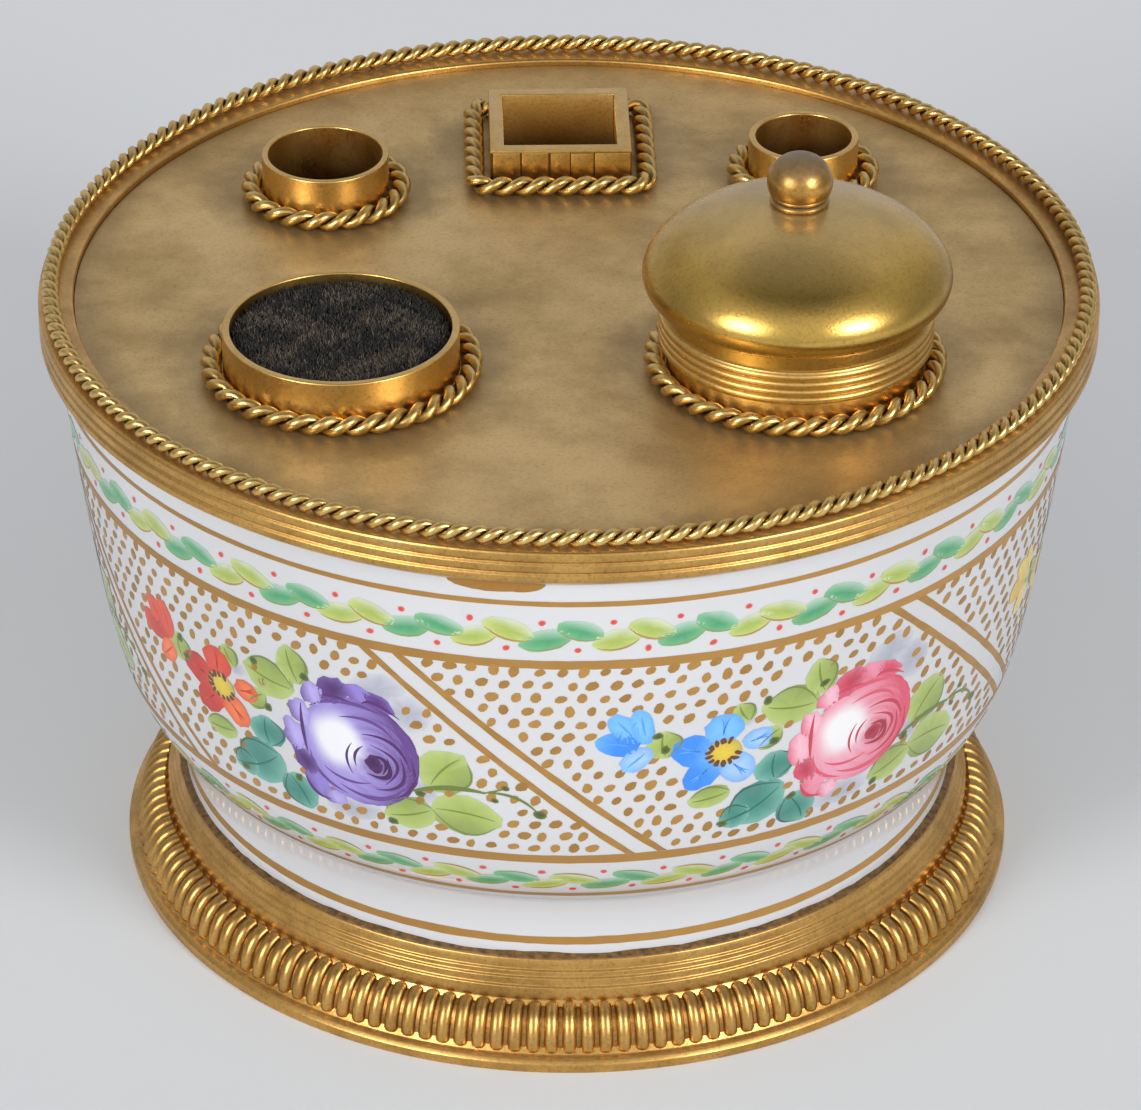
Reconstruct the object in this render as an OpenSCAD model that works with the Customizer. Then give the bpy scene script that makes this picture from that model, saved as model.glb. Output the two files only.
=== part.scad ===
// Round desk inkstand: a porcelain bowl held between two gilt-bronze mounts.
// The top plate carries two pen tubes, a square wax box, a pen wiper and a covered inkwell.
// Millimetres, +Z up. The origin is the middle of the face that the stand rests on.

/* [Foot mount] */
// Radius of the plinth that stands on the desk
foot_r = 65.4; // [62:0.1:70]
// Height of the plain plinth below the ribs
plinth_h = 1.9; // [1:0.1:3]
// Width of the plinth's ledge outside the ribs
plinth_ledge = 1.2; // [0.6:0.1:2]
// Height of the ribbed border
gadroon_h = 6.5; // [4:0.1:8]
// How far the ribbed border swells out
gadroon_depth = 4.9; // [3:0.1:6]
// Number of ribs round the border
gadroon_count = 154; // [80:2:180]
// How far each rib stands out of the border
gadroon_relief = 0.6; // [0.2:0.05:1]
// Width of the stepped moulding, from its neck to the porcelain
moulding_w = 2.0; // [1.6:0.1:3]
// Height of the face on which the porcelain stands
foot_seat_z = 10; // [9:0.1:12]
// Height of the rim round the porcelain's foot, above that face
foot_rim_h = 4; // [3:0.1:5]
// Wall of the hollow casting
foot_wall = 2.4; // [2:0.1:3]
// Bevel on the plinth's upper edge
plinth_bevel = 0.6; // [0.2:0.1:1]

/* [Porcelain bowl] */
// Height of the bowl from its foot to its rim
bowl_h = 77.4; // [70:0.1:90]
// Outer radius of the bowl at its rim
bowl_rim_r = 73.2; // [70:0.1:76]
// Radius gained for each millimetre of height on the side
bowl_taper = 0.13; // [0.08:0.01:0.2]
// How far the side is tucked in above the foot
bowl_tuck = 6.6; // [5:0.1:8]
// Height over which that tuck fades out
bowl_tuck_reach = 6.8; // [5:0.1:9]
// Height of the ankle, where the side meets the foot
bowl_ankle_h = 14.7; // [13:0.1:17]
// How far the foot's waist is drawn in from the ankle
bowl_waist_draw = 2.2; // [1:0.1:3]
// Thickness of the porcelain wall
bowl_wall = 4; // [3:0.1:5]
// Height of the hollow under the bowl's floor
bowl_hollow_h = 6; // [4:0.1:7]
// Thickness of the bowl's floor
bowl_floor_t = 4; // [3:0.1:5]
// Width of the foot ring that stands in the mount
bowl_toe_w = 5.2; // [4:0.1:6]

/* [Rim mount] */
// How far the band stands out round the porcelain's rim
rim_lip = 1.8; // [1.4:0.1:3]
// How far the band reaches down outside the porcelain
rim_drop = 1.8; // [1:0.1:4]
// Width of the flat ledge on top, inside the band's outer face
rim_ledge_w = 5; // [4:0.1:6]
// Height of the ledge above the plate
rim_step = 1; // [0.5:0.1:2]
// Thickness of the web between the porcelain's rim and the plate
rim_web = 1.2; // [0.8:0.1:2]
// Depth of the turned grooves
groove_depth = 0.35; // [0.1:0.05:0.6]
// Depth of the ring that locates the mount inside the bowl
rim_spigot_h = 2.5; // [1.5:0.1:4]
// Thickness of that ring
rim_spigot_t = 1.5; // [1:0.1:2.5]
// Play between that ring and the inside of the bowl
rim_spigot_play = 0.3; // [0.2:0.05:0.6]
// Radius of the ledge's outer edge
rim_edge_r = 0.6; // [0.3:0.1:1]
// Radius of the ledge's inner edge, at the plate
rebate_edge_r = 0.4; // [0.2:0.1:0.8]
// Diameter of the twisted wire on the rim
rim_rope_d = 2.6; // [1.4:0.1:3]
// Distance from the band's outer face to that wire
rim_rope_inset = 0.5; // [0:0.05:2]

/* [Top plate] */
// Thickness of the top plate
plate_t = 1.2; // [1:0.1:2]
// Diameter of the twisted wires round the fittings
rope_d = 3; // [1.8:0.1:4]
// Thickness of the flanges soldered to the plate
flange_t = 0.9; // [0.6:0.1:1.5]
// Bevel on the edges of the turned tubes
tube_edge = 0.2; // [0.1:0.05:0.3]

/* [Pen tubes] */
// Outer radius of the left tube
left_pen_r = 9.2; // [7:0.1:10]
// Bore radius of the left tube
left_pen_bore_r = 8.3; // [5:0.1:8.5]
// Outer radius of the right tube
right_pen_r = 8; // [7:0.1:10]
// Bore radius of the right tube
right_pen_bore_r = 7; // [5:0.1:7.4]
// Left tube, distance to the left of the middle
left_pen_x = 34.7; // [30:0.1:38]
// Left tube, distance behind the middle
left_pen_y = 28.1; // [26:0.1:32]
// Right tube, distance to the right of the middle
right_pen_x = 35.1; // [30:0.1:37]
// Right tube, distance behind the middle
right_pen_y = 32.3; // [28:0.1:34]
// Height of the tubes above the plate
pen_rise = 7; // [4:0.1:10]
// Depth of the tubes below the top of the plate
pen_depth = 45; // [30:0.5:60]
// Thickness of the discs that close the tubes
pen_floor_t = 1.2; // [0.8:0.1:2]
// Width of the tubes' flanges
pen_flange_w = 0.2; // [0.2:0.1:1.5]

/* [Wax box] */
// Outside width of the square box
box_w = 20.6; // [16:0.1:24]
// Outside depth of the square box, front to back
box_d = 20.3; // [16:0.1:24]
// Wall of the box
box_wall = 2; // [1:0.1:2.5]
// Box, distance behind the middle
box_y = 41; // [38:0.1:44]
// Height of the box above the plate
box_rise = 5.9; // [4:0.1:9]
// Depth of the box below the top of the plate
box_depth = 25; // [15:0.5:40]
// Thickness of the box's floor
box_floor_t = 1.2; // [0.8:0.1:2]
// Width of the box's flange, left and right
box_flange_w = 0.8; // [0.6:0.1:2]
// Width of the box's flange, front and back
box_flange_d = 1.2; // [0.8:0.1:2]
// How far the flange and its wire were soldered to the left of the box's middle
box_flange_left = 0.4; // [0:0.1:0.5]
// How far the flange and its wire were soldered in front of the box's middle
box_flange_ahead = 0.6; // [0:0.1:0.7]
// Corner radius of the twisted wire round the box
box_rope_corner_r = 2.4; // [1.6:0.1:4]

/* [Pen wiper] */
// Outer radius of the wiper's cup
wiper_r = 16.35; // [14:0.05:18]
// Wall of the cup
wiper_wall = 1.05; // [0.8:0.05:1.6]
// Wiper, distance to the left of the middle
wiper_x = 32; // [28:0.1:36]
// Wiper, distance in front of the middle
wiper_y = 23.9; // [20:0.1:30]
// Height of the cup above the plate
wiper_rise = 7; // [4:0.1:9]
// Depth of the cup below the top of the plate
wiper_depth = 6; // [4:0.1:12]
// Thickness of the cup's floor
wiper_floor_t = 1; // [0.8:0.1:2]
// Width of the cup's flange
wiper_flange_w = 0.2; // [0.2:0.05:1.2]
// Thickness of the brush's wooden block
brush_block_t = 4; // [3:0.1:6]
// Thickness of the block's upper slice, in which the bristles are set
brush_slice_t = 1; // [0.6:0.1:2]
// Free length of the bristles
bristle_l = 7.9; // [5:0.1:10]
// Number of bristle tufts
bristle_count = 340; // [300:10:400]
// Radius of a tuft
bristle_r = 0.4; // [0.2:0.05:0.45]
// Play of the brush in its cup, all round
brush_play = 0.35; // [0.3:0.05:0.8]

/* [Inkwell] */
// Outer radius of the inkwell's collar
well_r = 17.8; // [16:0.1:19]
// Wall of the collar
well_wall = 1.2; // [1:0.1:1.6]
// Inkwell, distance to the right of the middle
well_x = 30.6; // [28:0.1:34]
// Inkwell, distance in front of the middle
well_y = 24; // [22:0.1:28]
// Height of the collar above the plate
well_rise = 4.5; // [4.2:0.1:8]
// Width of the collar's flange
well_flange_w = 0.2; // [0.2:0.1:1]
// Depth of the shelf that carries the ink pot, below the top of the plate
shelf_depth = 2; // [1:0.1:3]
// Width of that shelf
shelf_w = 1.4; // [1:0.1:2]
// Thickness of that shelf
shelf_t = 2; // [1.4:0.1:3]
// Thickness of the ink pot's flange
pot_flange_t = 2; // [1.5:0.1:2.5]
// Depth of the ink pot below its flange
pot_depth = 43; // [25:0.5:55]
// Wall of the ink pot
pot_wall = 2.4; // [1.8:0.1:3]
// Radius of the ink pot's round bottom edge
pot_round_r = 3; // [1:0.5:5]
// Play between the ink pot and the collar, all round
pot_play = 0.35; // [0.3:0.05:0.8]

/* [Lid] */
// How far the lid's ribbed ring stands out beyond the collar
lid_overhang = 1.2; // [0.6:0.1:2]
// Height of the ribbed ring
lid_ring_h = 5; // [3.5:0.1:6]
// Number of beads turned on the ribbed ring
lid_bead_count = 4; // [2:1:5]
// How far the neck is drawn in from the ribbed ring
lid_neck_draw = 0.8; // [0.4:0.1:1.4]
// Height of the neck
lid_neck_h = 2.1; // [1:0.05:5]
// How far the dome swells out beyond the neck
dome_swell = 3.1; // [2:0.1:5]
// Height of the dome's rounded underside
dome_under_h = 3.3; // [2.5:0.05:6]
// Height of the dome above its widest ring
dome_rise = 10.9; // [7:0.05:12]
// Roundness of the dome: 2 is an ellipse, and less is more pointed
dome_round = 1.75; // [1.5:0.05:2.4]
// Thickness of the spun dome
dome_wall = 1.2; // [0.8:0.1:1.6]
// Depth of the sleeve below the lid's ring
sleeve_depth = 4; // [2:0.1:4.5]
// Wall of the sleeve
sleeve_wall = 1; // [0.8:0.1:1.4]
// Play between the sleeve and the collar, all round
lid_play = 0.3; // [0.3:0.05:0.6]
// Radius of the knob's ball
knob_r = 4.5; // [3.5:0.1:6]
// How far those rings are drawn in from the ball
knob_neck_draw = 0.4; // [0.2:0.1:1]
// Height of the two rings under the ball
knob_neck_h = 2; // [1.5:0.1:3]
// Height of the ball
knob_ball_h = 5.4; // [4:0.1:7]
// Radius of the knob's screw
knob_screw_r = 1.5; // [1:0.1:2]
// Radius of the round nut inside the dome
lid_nut_r = 3.6; // [3:0.1:5]
// Thickness of that nut
lid_nut_t = 2; // [1.5:0.1:3]

/* [Tie rod] */
// Radius of the rod that draws the two mounts together
rod_r = 2.5; // [2:0.1:3]
// Radius of the boss under the plate
boss_r = 6; // [5:0.1:8]
// Height of that boss
boss_h = 9; // [6:0.1:12]
// Metal left above the boss's blind hole
boss_roof_t = 2; // [1:0.1:3]
// How far the rod's end stands out of the nut
rod_end = 0.5; // [0.2:0.1:1]
// Gap round the rod in the bowl's floor
rod_gap = 1.5; // [0.5:0.1:3]
// Thickness of the plate under the foot
base_plate_t = 1.2; // [1:0.1:2]
// Radius of the washer
washer_r = 8; // [6:0.1:10]
// Thickness of the washer
washer_t = 1; // [0.8:0.1:1.5]
// Radius of the hexagonal nut, over its corners
nut_r = 4.7; // [4.4:0.1:6]
// Thickness of the nut
nut_t = 3.2; // [2:0.1:3.4]

/* [Fit] */
// Gap between pieces that are soldered, screwed or pushed together
seam = 0.05; // [0.02:0.01:0.1]
// Gap for plaster round the porcelain
plaster_gap = 0.7; // [0.4:0.1:1.2]
// How far the plaster lies below the rim round it
plaster_drop = 0.5; // [0.2:0.1:1.5]
// Gap between the porcelain's rim and the mount over it
rim_gap = 0.1; // [0.05:0.05:0.3]

/* [Hidden] */
$fn = 96;

gilt = "#b08d4a";
bright_gilt = "#d0a85a";
dark_gilt = "#6e4f26";
porcelain = "#f4f3ef";
plaster = "#4a3a2a";
bristle_black = "#1c1b1c";
block_brown = "#6b4a2e";
steel = "#8b8d90";

// Heights of the faces that pieces share
bowl_top_z = foot_seat_z + bowl_h;
web_z = bowl_top_z + rim_gap;
plate_z = web_z + rim_web;
plate_top_z = plate_z + plate_t;
ledge_z = plate_top_z + rim_step;
ankle_z = foot_seat_z + bowl_ankle_h;

// Radii that pieces share
gadroon_seat_r = foot_r - plinth_ledge - gadroon_depth;
foot_rim_r = gadroon_seat_r - moulding_w;
toe_r = foot_rim_r - plaster_gap;
web_bottom_z = foot_seat_z - foot_wall;
rim_r = bowl_rim_r + rim_lip;
plate_r = rim_r - rim_ledge_w;
well_bore_r = well_r - well_wall;
shelf_r = well_bore_r - shelf_w;
pot_r = shelf_r - pot_play;
sleeve_r = well_bore_r - lid_play;
lid_z = plate_top_z + well_rise;
lid_ring_r = well_r + lid_overhang;
neck_r = lid_ring_r - lid_neck_draw;
neck_z = lid_z + lid_ring_h;
dome_z = neck_z + lid_neck_h + dome_under_h;
dome_r = neck_r + dome_swell;
knob_neck_r = knob_r - knob_neck_draw;
brush_r = wiper_r - wiper_wall - brush_play;
cup_floor_z = plate_top_z - wiper_depth + wiper_floor_t;
block_top_z = cup_floor_z + brush_block_t;
// Half sizes of the square on which the wire round the box runs
box_rope_half_w = box_w / 2 + box_flange_w + rope_d / 2 + seam;
box_rope_half_d = box_d / 2 + box_flange_d + rope_d / 2 + seam;
// Ends of the tie rod, and the dome's flat land outside and inside
rod_top_z = plate_z - boss_roof_t;
nut_z = web_bottom_z - base_plate_t - washer_t - nut_t;
land_z = dome_z + dome_rise * pow(1 - pow(knob_neck_r / dome_r, dome_round), 1 / dome_round);
inner_land_z = dome_z + (dome_rise - dome_wall)
    * pow(1 - pow(knob_neck_r / (dome_r - dome_wall), dome_round), 1 / dome_round);

// Radius of the bowl's side at height z, from the ankle up
function bowl_r(z) = bowl_rim_r - bowl_taper * (bowl_top_z - z)
    - bowl_tuck * exp(-(z - ankle_z) / bowl_tuck_reach);

// Points of a smooth curve from a to b that leaves and arrives in the directions of the handles
function curve(a, ha, hb, b, steps) = [
    for (i = [0 : steps]) let (t = i / steps, s = 1 - t)
        s * s * s * a + 3 * s * s * t * ha + 3 * s * t * t * hb + t * t * t * b
];

// Points of the arc of an ellipse with its middle at c, from angle a0 to a1
function arc(c, rx, ry, a0, a1, steps) = [
    for (i = [0 : steps]) let (a = a0 + (a1 - a0) * i / steps)
        c + [rx * cos(a), ry * sin(a)]
];

// Half-round groove turned into a face at radius r and height z
function groove(r, z) = [[r, z - groove_depth], [r - groove_depth, z], [r, z + groove_depth]];

// Top half of the dome's outline, from its widest ring to the flat land under the knob
function dome_half(r, rise, land_r, steps) = [
    for (i = [0 : steps]) let (x = r - (r - land_r) * pow(i / steps, 1.6))
        [x, dome_z + rise * pow(1 - pow(x / r, dome_round), 1 / dome_round)]
];

module turned(points) rotate_extrude() polygon(points);

module tube(r, bore, z0, z1) turned([[bore, z0], [r, z0], [r, z1], [bore, z1]]);

// Round wire ring on the plate, outside a flange of radius r
module wire_ring(r, z, d) translate([0, 0, z + d / 2 + seam])
    rotate_extrude() translate([r + d / 2 + seam, 0]) circle(d = d, $fn = 24);

/* Foot mount */

// Cast ring: hollow underneath, stepped inwards to the porcelain's foot
module foot_ring() color(gilt) {
    neck_z0 = plinth_h + gadroon_h;
    rim_z = foot_seat_z + foot_rim_h;
    step_h = (rim_z - neck_z0) / 6;
    step_w = moulding_w / 5;
    turned([
        [foot_r - foot_wall, 0],
        [foot_r, 0],
        [foot_r, plinth_h - plinth_bevel],
        [foot_r - plinth_bevel, plinth_h],
        [gadroon_seat_r, plinth_h],
        [gadroon_seat_r, neck_z0 + 1.8 * step_h],
        [gadroon_seat_r - step_w, neck_z0 + 2 * step_h],
        [gadroon_seat_r - step_w, neck_z0 + 3.2 * step_h],
        [gadroon_seat_r - 2 * step_w, neck_z0 + 3.4 * step_h],
        [gadroon_seat_r - 2 * step_w, neck_z0 + 4.2 * step_h],
        [gadroon_seat_r - 3 * step_w, neck_z0 + 4.4 * step_h],
        [gadroon_seat_r - 3 * step_w, neck_z0 + 5.2 * step_h],
        [gadroon_seat_r - 3.6 * step_w, rim_z],
        [foot_rim_r, rim_z],
        [foot_rim_r, foot_seat_z],
        [toe_r - bowl_toe_w, foot_seat_z],
        [toe_r - bowl_toe_w, web_bottom_z],
        [gadroon_seat_r - foot_wall, web_bottom_z],
        [gadroon_seat_r - foot_wall, plinth_h]
    ]);
}

// Border of ribs: a quarter-round ring with its face drawn into pleats
module gadroon_border() color(bright_gilt) {
    section_steps = 4;
    rings = 2 * gadroon_count;
    side = section_steps + 2;
    swell = gadroon_depth - gadroon_relief;
    points = [
        for (k = [0 : rings - 1]) let (turn = 360 * k / rings, crest = k % 2)
            for (j = [0 : side - 1]) let (
                a = 90 * min(j, section_steps) / section_steps,
                out = crest * gadroon_relief * pow(sin(min(2 * a, 180)), 0.5),
                r = gadroon_seat_r + seam + (j < side - 1 ? (swell + out) * cos(a) : 0),
                z = plinth_h + (j < side - 1 ? (gadroon_h - gadroon_relief + out) * sin(a) : 0)
            ) [r * cos(turn), r * sin(turn), z]
    ];
    faces = [
        for (k = [0 : rings - 1]) for (j = [0 : side - 1]) let (
            a = k * side + j,
            b = k * side + (j + 1) % side,
            c = ((k + 1) % rings) * side + (j + 1) % side,
            d = ((k + 1) % rings) * side + j
        ) each [[a, b, c], [a, c, d]]
    ];
    polyhedron(points, faces);
}

// Disc that closes the hollow foot from below
module base_plate() color(gilt)
    translate([0, 0, web_bottom_z - base_plate_t]) difference() {
        cylinder(r = gadroon_seat_r - foot_wall - seam, h = base_plate_t);
        translate([0, 0, -1]) cylinder(r = rod_r + seam, h = base_plate_t + 2);
    }

// Threaded rod from the boss under the plate to the nut under the foot
module tie_rod() color(steel)
    translate([0, 0, nut_z - rod_end]) cylinder(r = rod_r, h = rod_top_z - nut_z + rod_end);

module rod_washer() color(steel)
    tube(washer_r, rod_r + seam, web_bottom_z - base_plate_t - washer_t, web_bottom_z - base_plate_t);

module rod_nut() color(steel)
    translate([0, 0, nut_z]) difference() {
        cylinder(r = nut_r, h = nut_t, $fn = 6);
        translate([0, 0, -1]) cylinder(r = rod_r + seam, h = nut_t + 2);
    }

module rod_boss() color(gilt)
    translate([0, 0, plate_z - boss_h]) difference() {
        cylinder(r = boss_r, h = boss_h);
        translate([0, 0, -1]) cylinder(r = rod_r + seam, h = boss_h - boss_roof_t + seam + 1);
    }

/* Porcelain */

// Dark ring of plaster that beds the porcelain in the foot mount
module plaster_bed() color(plaster)
    tube(foot_rim_r, toe_r, foot_seat_z, foot_seat_z + foot_rim_h - plaster_drop);

module porcelain_bowl() color(porcelain) {
    side_steps = 26;
    ankle_r = bowl_r(ankle_z);
    toe_top_z = foot_seat_z + foot_rim_h;
    waist_r = ankle_r - bowl_waist_draw;
    hollow_r = toe_r - bowl_toe_w;
    floor_z = foot_seat_z + bowl_hollow_h;
    // The side is sampled more closely near the ankle, where it curves most
    heights = [
        for (i = [0 : side_steps]) ankle_z + (bowl_top_z - ankle_z) * pow(i / side_steps, 1.7)
    ];
    outside = [for (z = heights) [bowl_r(z), z]];
    inside = [for (i = [side_steps : -1 : 1]) [bowl_r(heights[i]) - bowl_wall, heights[i]]];
    turned(concat(
        [[hollow_r, foot_seat_z], [toe_r, foot_seat_z]],
        curve(
            [toe_r, toe_top_z], [toe_r, toe_top_z + 1],
            [waist_r, ankle_z - 6], [waist_r + 0.25, ankle_z - 3.6], 4
        ),
        [[ankle_r - 1.05, ankle_z - 1.6]],
        outside,
        inside,
        curve(
            [ankle_r - bowl_wall, ankle_z],
            [ankle_r - bowl_wall - 2.2, ankle_z - 3],
            [hollow_r, floor_z + bowl_floor_t],
            [hollow_r - 6, floor_z + bowl_floor_t], 6
        ),
        [
            [rod_r + rod_gap, floor_z + bowl_floor_t],
            [rod_r + rod_gap, floor_z],
            [hollow_r, floor_z]
        ]
    ));
}

/* Rim */

// Turned ring: a channel over the porcelain's rim, a rebate for the plate and two grooves
module rim_mount() color(gilt) {
    lip_z = bowl_top_z - rim_drop;
    lip_bore_r = bowl_rim_r + seam;
    spigot_r = bowl_r(bowl_top_z - rim_spigot_h) - bowl_wall - rim_spigot_play;
    band_h = ledge_z - lip_z;
    turned(concat(
        [
            [spigot_r - rim_spigot_t, web_z - rim_spigot_h],
            [spigot_r, web_z - rim_spigot_h],
            [spigot_r, web_z],
            [lip_bore_r, web_z],
            [lip_bore_r, lip_z],
            [lip_bore_r + 0.5, lip_z - 0.2],
            [rim_r, lip_z + 0.8]
        ],
        groove(rim_r, lip_z + 0.38 * band_h),
        groove(rim_r, lip_z + 0.68 * band_h),
        arc([rim_r - rim_edge_r, ledge_z - rim_edge_r], rim_edge_r, rim_edge_r, 0, 90, 3),
        arc([plate_r + rebate_edge_r, ledge_z - rebate_edge_r], rebate_edge_r, rebate_edge_r, 90, 180, 3),
        [
            [plate_r, plate_z],
            [spigot_r - rim_spigot_t, plate_z]
        ]
    ));
}

module rim_rope() color(bright_gilt)
    translate([0, 0, ledge_z + rim_rope_d / 2])
        rotate_extrude() translate([rim_r - rim_rope_inset - rim_rope_d / 2, 0])
            circle(d = rim_rope_d, $fn = 24);

/* Top plate */

// Where each fitting stands on the plate
module at_left_pen() translate([-left_pen_x, left_pen_y, 0]) children();
module at_right_pen() translate([right_pen_x, right_pen_y, 0]) children();
module at_wiper() translate([-wiper_x, -wiper_y, 0]) children();
module at_well() translate([well_x, -well_y, 0]) children();

// Round hole through the plate for a fitting of radius r
module plate_hole(r) translate([0, 0, plate_z - 1]) cylinder(r = r + seam, h = plate_t + 2);

module top_plate() color(gilt)
    difference() {
        translate([0, 0, plate_z]) cylinder(r = plate_r - 2 * seam, h = plate_t);
        at_left_pen() plate_hole(left_pen_r);
        at_right_pen() plate_hole(right_pen_r);
        at_wiper() plate_hole(wiper_r);
        at_well() plate_hole(well_r);
        box_block(seam, plate_z - 1, plate_t + 2);
    }

// Tube through the plate, with a flange that stands on it
module flanged_tube(r, bore, flange_w, rise, depth)
    turned([
        [bore, plate_top_z - depth],
        [r, plate_top_z - depth],
        [r, plate_top_z],
        [r + flange_w, plate_top_z],
        [r + flange_w, plate_top_z + flange_t - tube_edge / 2],
        [r + flange_w - tube_edge / 2, plate_top_z + flange_t],
        [r, plate_top_z + flange_t],
        [r, plate_top_z + rise - tube_edge],
        [r - tube_edge, plate_top_z + rise],
        [bore, plate_top_z + rise]
    ]);

/* Pen tubes */

module pen_tube(r, bore) color(gilt) flanged_tube(r, bore, pen_flange_w, pen_rise, pen_depth);
module pen_floor(r) color(dark_gilt)
    translate([0, 0, plate_top_z - pen_depth - pen_floor_t]) cylinder(r = r, h = pen_floor_t);
module pen_rope(r) color(bright_gilt) wire_ring(r + pen_flange_w, plate_top_z, rope_d);

module left_pen_tube() at_left_pen() pen_tube(left_pen_r, left_pen_bore_r);
module left_pen_floor() at_left_pen() pen_floor(left_pen_r);
module left_pen_rope() at_left_pen() pen_rope(left_pen_r);
module right_pen_tube() at_right_pen() pen_tube(right_pen_r, right_pen_bore_r);
module right_pen_floor() at_right_pen() pen_floor(right_pen_r);
module right_pen_rope() at_right_pen() pen_rope(right_pen_r);

/* Wax box */

// Upright block with the box's outline, grown by so much on each side
module box_block(grow, z, h)
    translate([-box_w / 2 - grow, box_y - box_d / 2 - grow, z])
        cube([box_w + 2 * grow, box_d + 2 * grow, h]);

// Flange with round corners that follow the wire round it
module box_flange()
    translate([-box_flange_left, box_y - box_flange_ahead, plate_top_z]) hull()
        for (x = [-1, 1], y = [-1, 1])
            translate([
                x * (box_rope_half_w - box_rope_corner_r), y * (box_rope_half_d - box_rope_corner_r), 0
            ])
                cylinder(r = box_rope_corner_r - rope_d / 2 - seam, h = flange_t, $fn = 48);

module wax_box() color(gilt)
    difference() {
        union() {
            box_block(0, plate_top_z - box_depth, box_depth + box_rise);
            box_flange();
        }
        box_block(-box_wall, plate_top_z - box_depth - 1, box_depth + box_rise + 2);
    }

module wax_box_floor() color(dark_gilt)
    box_block(-box_wall - seam, plate_top_z - box_depth, box_floor_t);

// Twisted wire bent into a square with round corners
module wax_box_rope() color(bright_gilt) {
    run_w = box_rope_half_w - box_rope_corner_r;
    run_d = box_rope_half_d - box_rope_corner_r;
    translate([-box_flange_left, box_y - box_flange_ahead, plate_top_z + rope_d / 2 + seam]) {
        for (s = [-1, 1]) {
            translate([-run_w, s * box_rope_half_d, 0]) rotate([0, 90, 0])
                cylinder(d = rope_d, h = 2 * run_w, $fn = 24);
            translate([s * box_rope_half_w, run_d, 0]) rotate([90, 0, 0])
                cylinder(d = rope_d, h = 2 * run_d, $fn = 24);
        }
        for (q = [[1, 1, 0], [-1, 1, 90], [-1, -1, 180], [1, -1, 270]])
            translate([q[0] * run_w, q[1] * run_d, 0]) rotate([0, 0, q[2]])
                rotate_extrude(angle = 90) translate([box_rope_corner_r, 0])
                    circle(d = rope_d, $fn = 24);
    }
}

/* Pen wiper */

module wiper_cup() color(gilt) at_wiper()
    flanged_tube(wiper_r, wiper_r - wiper_wall, wiper_flange_w, wiper_rise, wiper_depth);

module wiper_floor() color(dark_gilt) at_wiper()
    translate([0, 0, cup_floor_z - wiper_floor_t])
        cylinder(r = wiper_r - wiper_wall - seam, h = wiper_floor_t);

module wiper_rope() color(bright_gilt) at_wiper()
    wire_ring(wiper_r + wiper_flange_w, plate_top_z, rope_d);

// Turned wooden block that holds the bristles
module wiper_block() color(block_brown) at_wiper()
    translate([0, 0, cup_floor_z]) cylinder(r = brush_r, h = brush_block_t - brush_slice_t);

// Bristle tufts set in a slice of the block, spread evenly along a sunflower spiral
module wiper_bristles() color(bristle_black) at_wiper() {
    sides = 3;
    root_z = block_top_z - brush_slice_t / 2;
    spread_r = brush_r - 2 * bristle_r;
    points = [
        for (k = [0 : bristle_count - 1]) let (
            turn = 137.508 * k,
            out = spread_r * sqrt((k + 0.5) / bristle_count),
            sway = 0.12 * bristle_l / 8,
            tip_z = block_top_z + bristle_l - 0.4 * (0.5 + 0.5 * sin(311 * k)) - 0.5 * pow(out / spread_r, 4)
        ) for (end = [0, 1]) for (s = [0 : sides - 1]) let (a = turn + 360 * s / sides) [
            out * cos(turn) + (1 - 0.4 * end) * bristle_r * cos(a) + end * sway * sin(97 * k),
            out * sin(turn) + (1 - 0.4 * end) * bristle_r * sin(a) + end * sway * cos(61 * k),
            end == 0 ? root_z : tip_z
        ]
    ];
    faces = [
        for (k = [0 : bristle_count - 1]) let (b = 2 * sides * k) each concat(
            [[b, b + 1, b + 2], [b + 5, b + 4, b + 3]],
            [for (s = [0 : sides - 1]) [b + s, b + sides + s, b + (s + 1) % sides]],
            [for (s = [0 : sides - 1]) [b + (s + 1) % sides, b + sides + s, b + sides + (s + 1) % sides]]
        )
    ];
    union() {
        translate([0, 0, block_top_z - brush_slice_t]) cylinder(r = brush_r, h = brush_slice_t);
        polyhedron(points, faces);
    }
}

/* Inkwell */

// Collar with a shelf inside that carries the ink pot's flange
module inkwell_collar() color(gilt) at_well() {
    shelf_z = plate_top_z - shelf_depth;
    turned([
        [shelf_r, shelf_z - shelf_t],
        [well_r, shelf_z - shelf_t],
        [well_r, plate_top_z],
        [well_r + well_flange_w, plate_top_z],
        [well_r + well_flange_w, plate_top_z + flange_t],
        [well_r, plate_top_z + flange_t],
        [well_r, plate_top_z + well_rise],
        [well_bore_r, plate_top_z + well_rise],
        [well_bore_r, shelf_z],
        [shelf_r, shelf_z]
    ]);
}

module inkwell_rope() color(bright_gilt) at_well()
    wire_ring(well_r + well_flange_w, plate_top_z, rope_d);

module ink_pot() color(porcelain) at_well() {
    flange_z = plate_top_z - shelf_depth;
    flange_r = well_bore_r - pot_play;
    bottom_z = flange_z - pot_depth;
    inner_r = pot_r - pot_wall;
    turned(concat(
        [[0, bottom_z]],
        arc([pot_r - pot_round_r, bottom_z + pot_round_r], pot_round_r, pot_round_r, -90, 0, 5),
        [[pot_r, flange_z], [flange_r, flange_z], [flange_r, flange_z + pot_flange_t - 0.4]],
        [[flange_r - 0.4, flange_z + pot_flange_t], [inner_r + 0.6, flange_z + pot_flange_t]],
        [[inner_r, flange_z + pot_flange_t - 0.6]],
        arc([inner_r - pot_round_r, bottom_z + pot_wall + pot_round_r], pot_round_r, pot_round_r, 0, -90, 5),
        [[0, bottom_z + pot_wall]]
    ));
}

/* Lid */

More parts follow.
